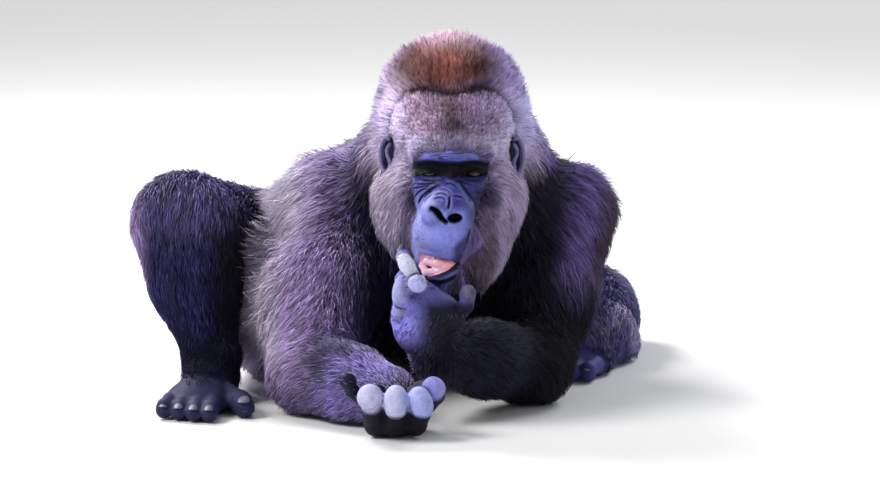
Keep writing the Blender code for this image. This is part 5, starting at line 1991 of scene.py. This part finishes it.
def make_nails():
    """The raised thumb's nail and those of all toes."""
    bm = bmesh.new()
    make_nail(bm, (0.0205, -0.0128, 0.1875), (0.05, -1.0, 0.16), (0.0, 0.1, 1.0), 0.0066, 0.0085)
    for foot, heading in ((RIGHT_FOOT, RIGHT_HEADING), (LEFT_FOOT, LEFT_HEADING)):
        ahead = Vector((*heading, 0.0)).normalized()
        for toe in foot[1]:
            last = toe[-1]
            tip = Vector(last["end"]) + ahead * (last["radii"][1] * 0.45)
            tip.z += last["radii"][1] * 0.86
            size = last["radii"][1]
            make_nail(bm, tip, (ahead.x * 0.35, ahead.y * 0.35, 1.0), ahead, size * 0.62, size * 0.70)
    made = new_object("nails", bm)
    smooth(made)
    return made


# ---------------------------------------------------------------- putting it together


def finish_piece(made, material):
    """Moves a piece on to the frame, and gives it its material and body."""
    made.data.transform(TO_FRAME)
    made.data.update()
    made.data.materials.clear()
    made.data.materials.append(material)
    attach(made, "root")


def make_animal():
    """Every piece of the animal, each riding on the one body."""
    skin = make_skin()
    set_colours(skin.data, "skin_colour", skin_marks(points_of(skin.data)))
    hair = coat_material()
    for seed, (name, (places, normals)) in enumerate(coat_roots(skin).items()):
        finish_piece(make_coat(name, places, normals, 100 + seed), hair)
    finish_piece(skin, skin_material())
    kept = ("right_eye", "left_eye", "tongue")
    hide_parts(*[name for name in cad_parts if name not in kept])
    wet = eye_material()
    for name, side in (("right_eye", -1.0), ("left_eye", 1.0)):
        eye = make_eye(name + "_globe", side)
        finish_piece(eye, wet)
        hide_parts(name)
    flesh = flesh_material()
    tongue, gums, teeth = make_tongue(), make_gums(), make_teeth()
    for piece in (tongue, gums, teeth):
        shades = flesh_marks(points_of(piece.data))
        if piece == teeth:
            shades = mix(shades, colour(238, 222, 226), np.full(len(shades), 0.75))
        set_colours(piece.data, "flesh_colour", shades)
        finish_piece(piece, flesh)
    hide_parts("tongue")
    finish_piece(make_nails(), nail_material())


def make_floor():
    """A plain pale floor, wide enough to fade out of sight."""
    bm = bmesh.new()
    bmesh.ops.create_grid(bm, x_segments=1, y_segments=1, size=30.0)
    floor = new_object("floor", bm)
    material, _, shader = new_material("studio_floor", 0.9, 0.2)
    shader.inputs["Base Color"].default_value = (0.78, 0.78, 0.77, 1.0)
    floor.data.materials.append(material)
    floor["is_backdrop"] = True


def area_light(name, place, target, size, power, shade):
    """A round soft light that faces its target."""
    data = bpy.data.lights.new(name, "AREA")
    data.shape = "DISK"
    data.size = size
    data.energy = power
    data.color = shade
    made = bpy.data.objects.new(name, data)
    made.location = place
    way = Vector(target) - Vector(place)
    made.rotation_euler = way.to_track_quat("-Z", "Y").to_euler()
    bpy.context.scene.collection.objects.link(made)


def make_lights():
    """A soft sun from the front left, a weak fill, two rim lights behind, and a glow over the flank."""
    middle = TO_FRAME @ Vector((-0.02, 0.20, 0.22))
    key = bpy.data.lights.new("key", "SUN")
    key.energy = 2.5
    key.angle = math.radians(24.0)
    key.color = (1.0, 0.99, 0.98)
    made = bpy.data.objects.new("key", key)
    made.rotation_euler = Vector((0.66, 0.30, -0.70)).to_track_quat("-Z", "Y").to_euler()
    bpy.context.scene.collection.objects.link(made)
    area_light("fill", middle + Vector((1.9, -2.6, 0.9)), middle, 2.2, 9.0, (0.92, 0.94, 1.0))
    area_light("rim", middle + Vector((-1.5, 1.6, 1.9)), middle, 1.2, 95.0, (1.0, 0.97, 0.98))
    area_light("back", middle + Vector((1.6, 1.7, 1.6)), middle, 1.4, 42.0, (0.95, 0.96, 1.0))
    flank = TO_FRAME @ Vector((-0.265, 0.34, 0.13))
    area_light("flank", flank + Vector((-0.06, 0.14, 0.62)), flank, 0.22, 1.5, (0.96, 0.94, 1.0))
    world = bpy.data.worlds.new("studio")
    world.use_nodes = True
    world.node_tree.nodes["Background"].inputs["Color"].default_value = (0.90, 0.92, 0.96, 1.0)
    world.node_tree.nodes["Background"].inputs["Strength"].default_value = 0.38
    bpy.context.scene.world = world


def make_camera():
    """Looks at the face from the front and a little from above, with the face right of the middle."""
    rise = math.radians(9.0)
    reach = 7.0
    width_in_view = 1.1704
    eyes = TO_FRAME @ Vector((0.0, EYE_Y, EYE_Z))
    ahead = Vector((0.0, math.cos(rise), -math.sin(rise)))
    up = Vector((0.0, math.sin(rise), math.cos(rise)))
    camera = bpy.data.objects.new("camera", bpy.data.cameras.new("camera"))
    camera.data.sensor_width = 36.0
    camera.data.lens = camera.data.sensor_width * reach / width_in_view
    camera.data.clip_end = 60.0
    camera.location = eyes - Vector((0.01596, 0.0, 0.0)) - up * 0.099085 - ahead * reach
    camera.rotation_euler = (math.pi / 2 - rise, 0.0, 0.0)
    bpy.context.scene.collection.objects.link(camera)
    bpy.context.scene.camera = camera


make_camera()
make_floor()
make_lights()
make_animal()
bpy.context.scene.view_settings.view_transform = "Standard"

boxes = {"cad": CAD_BOX, "visual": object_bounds()}
{name: [list(corner) for corner in box] for name, box in boxes.items()}
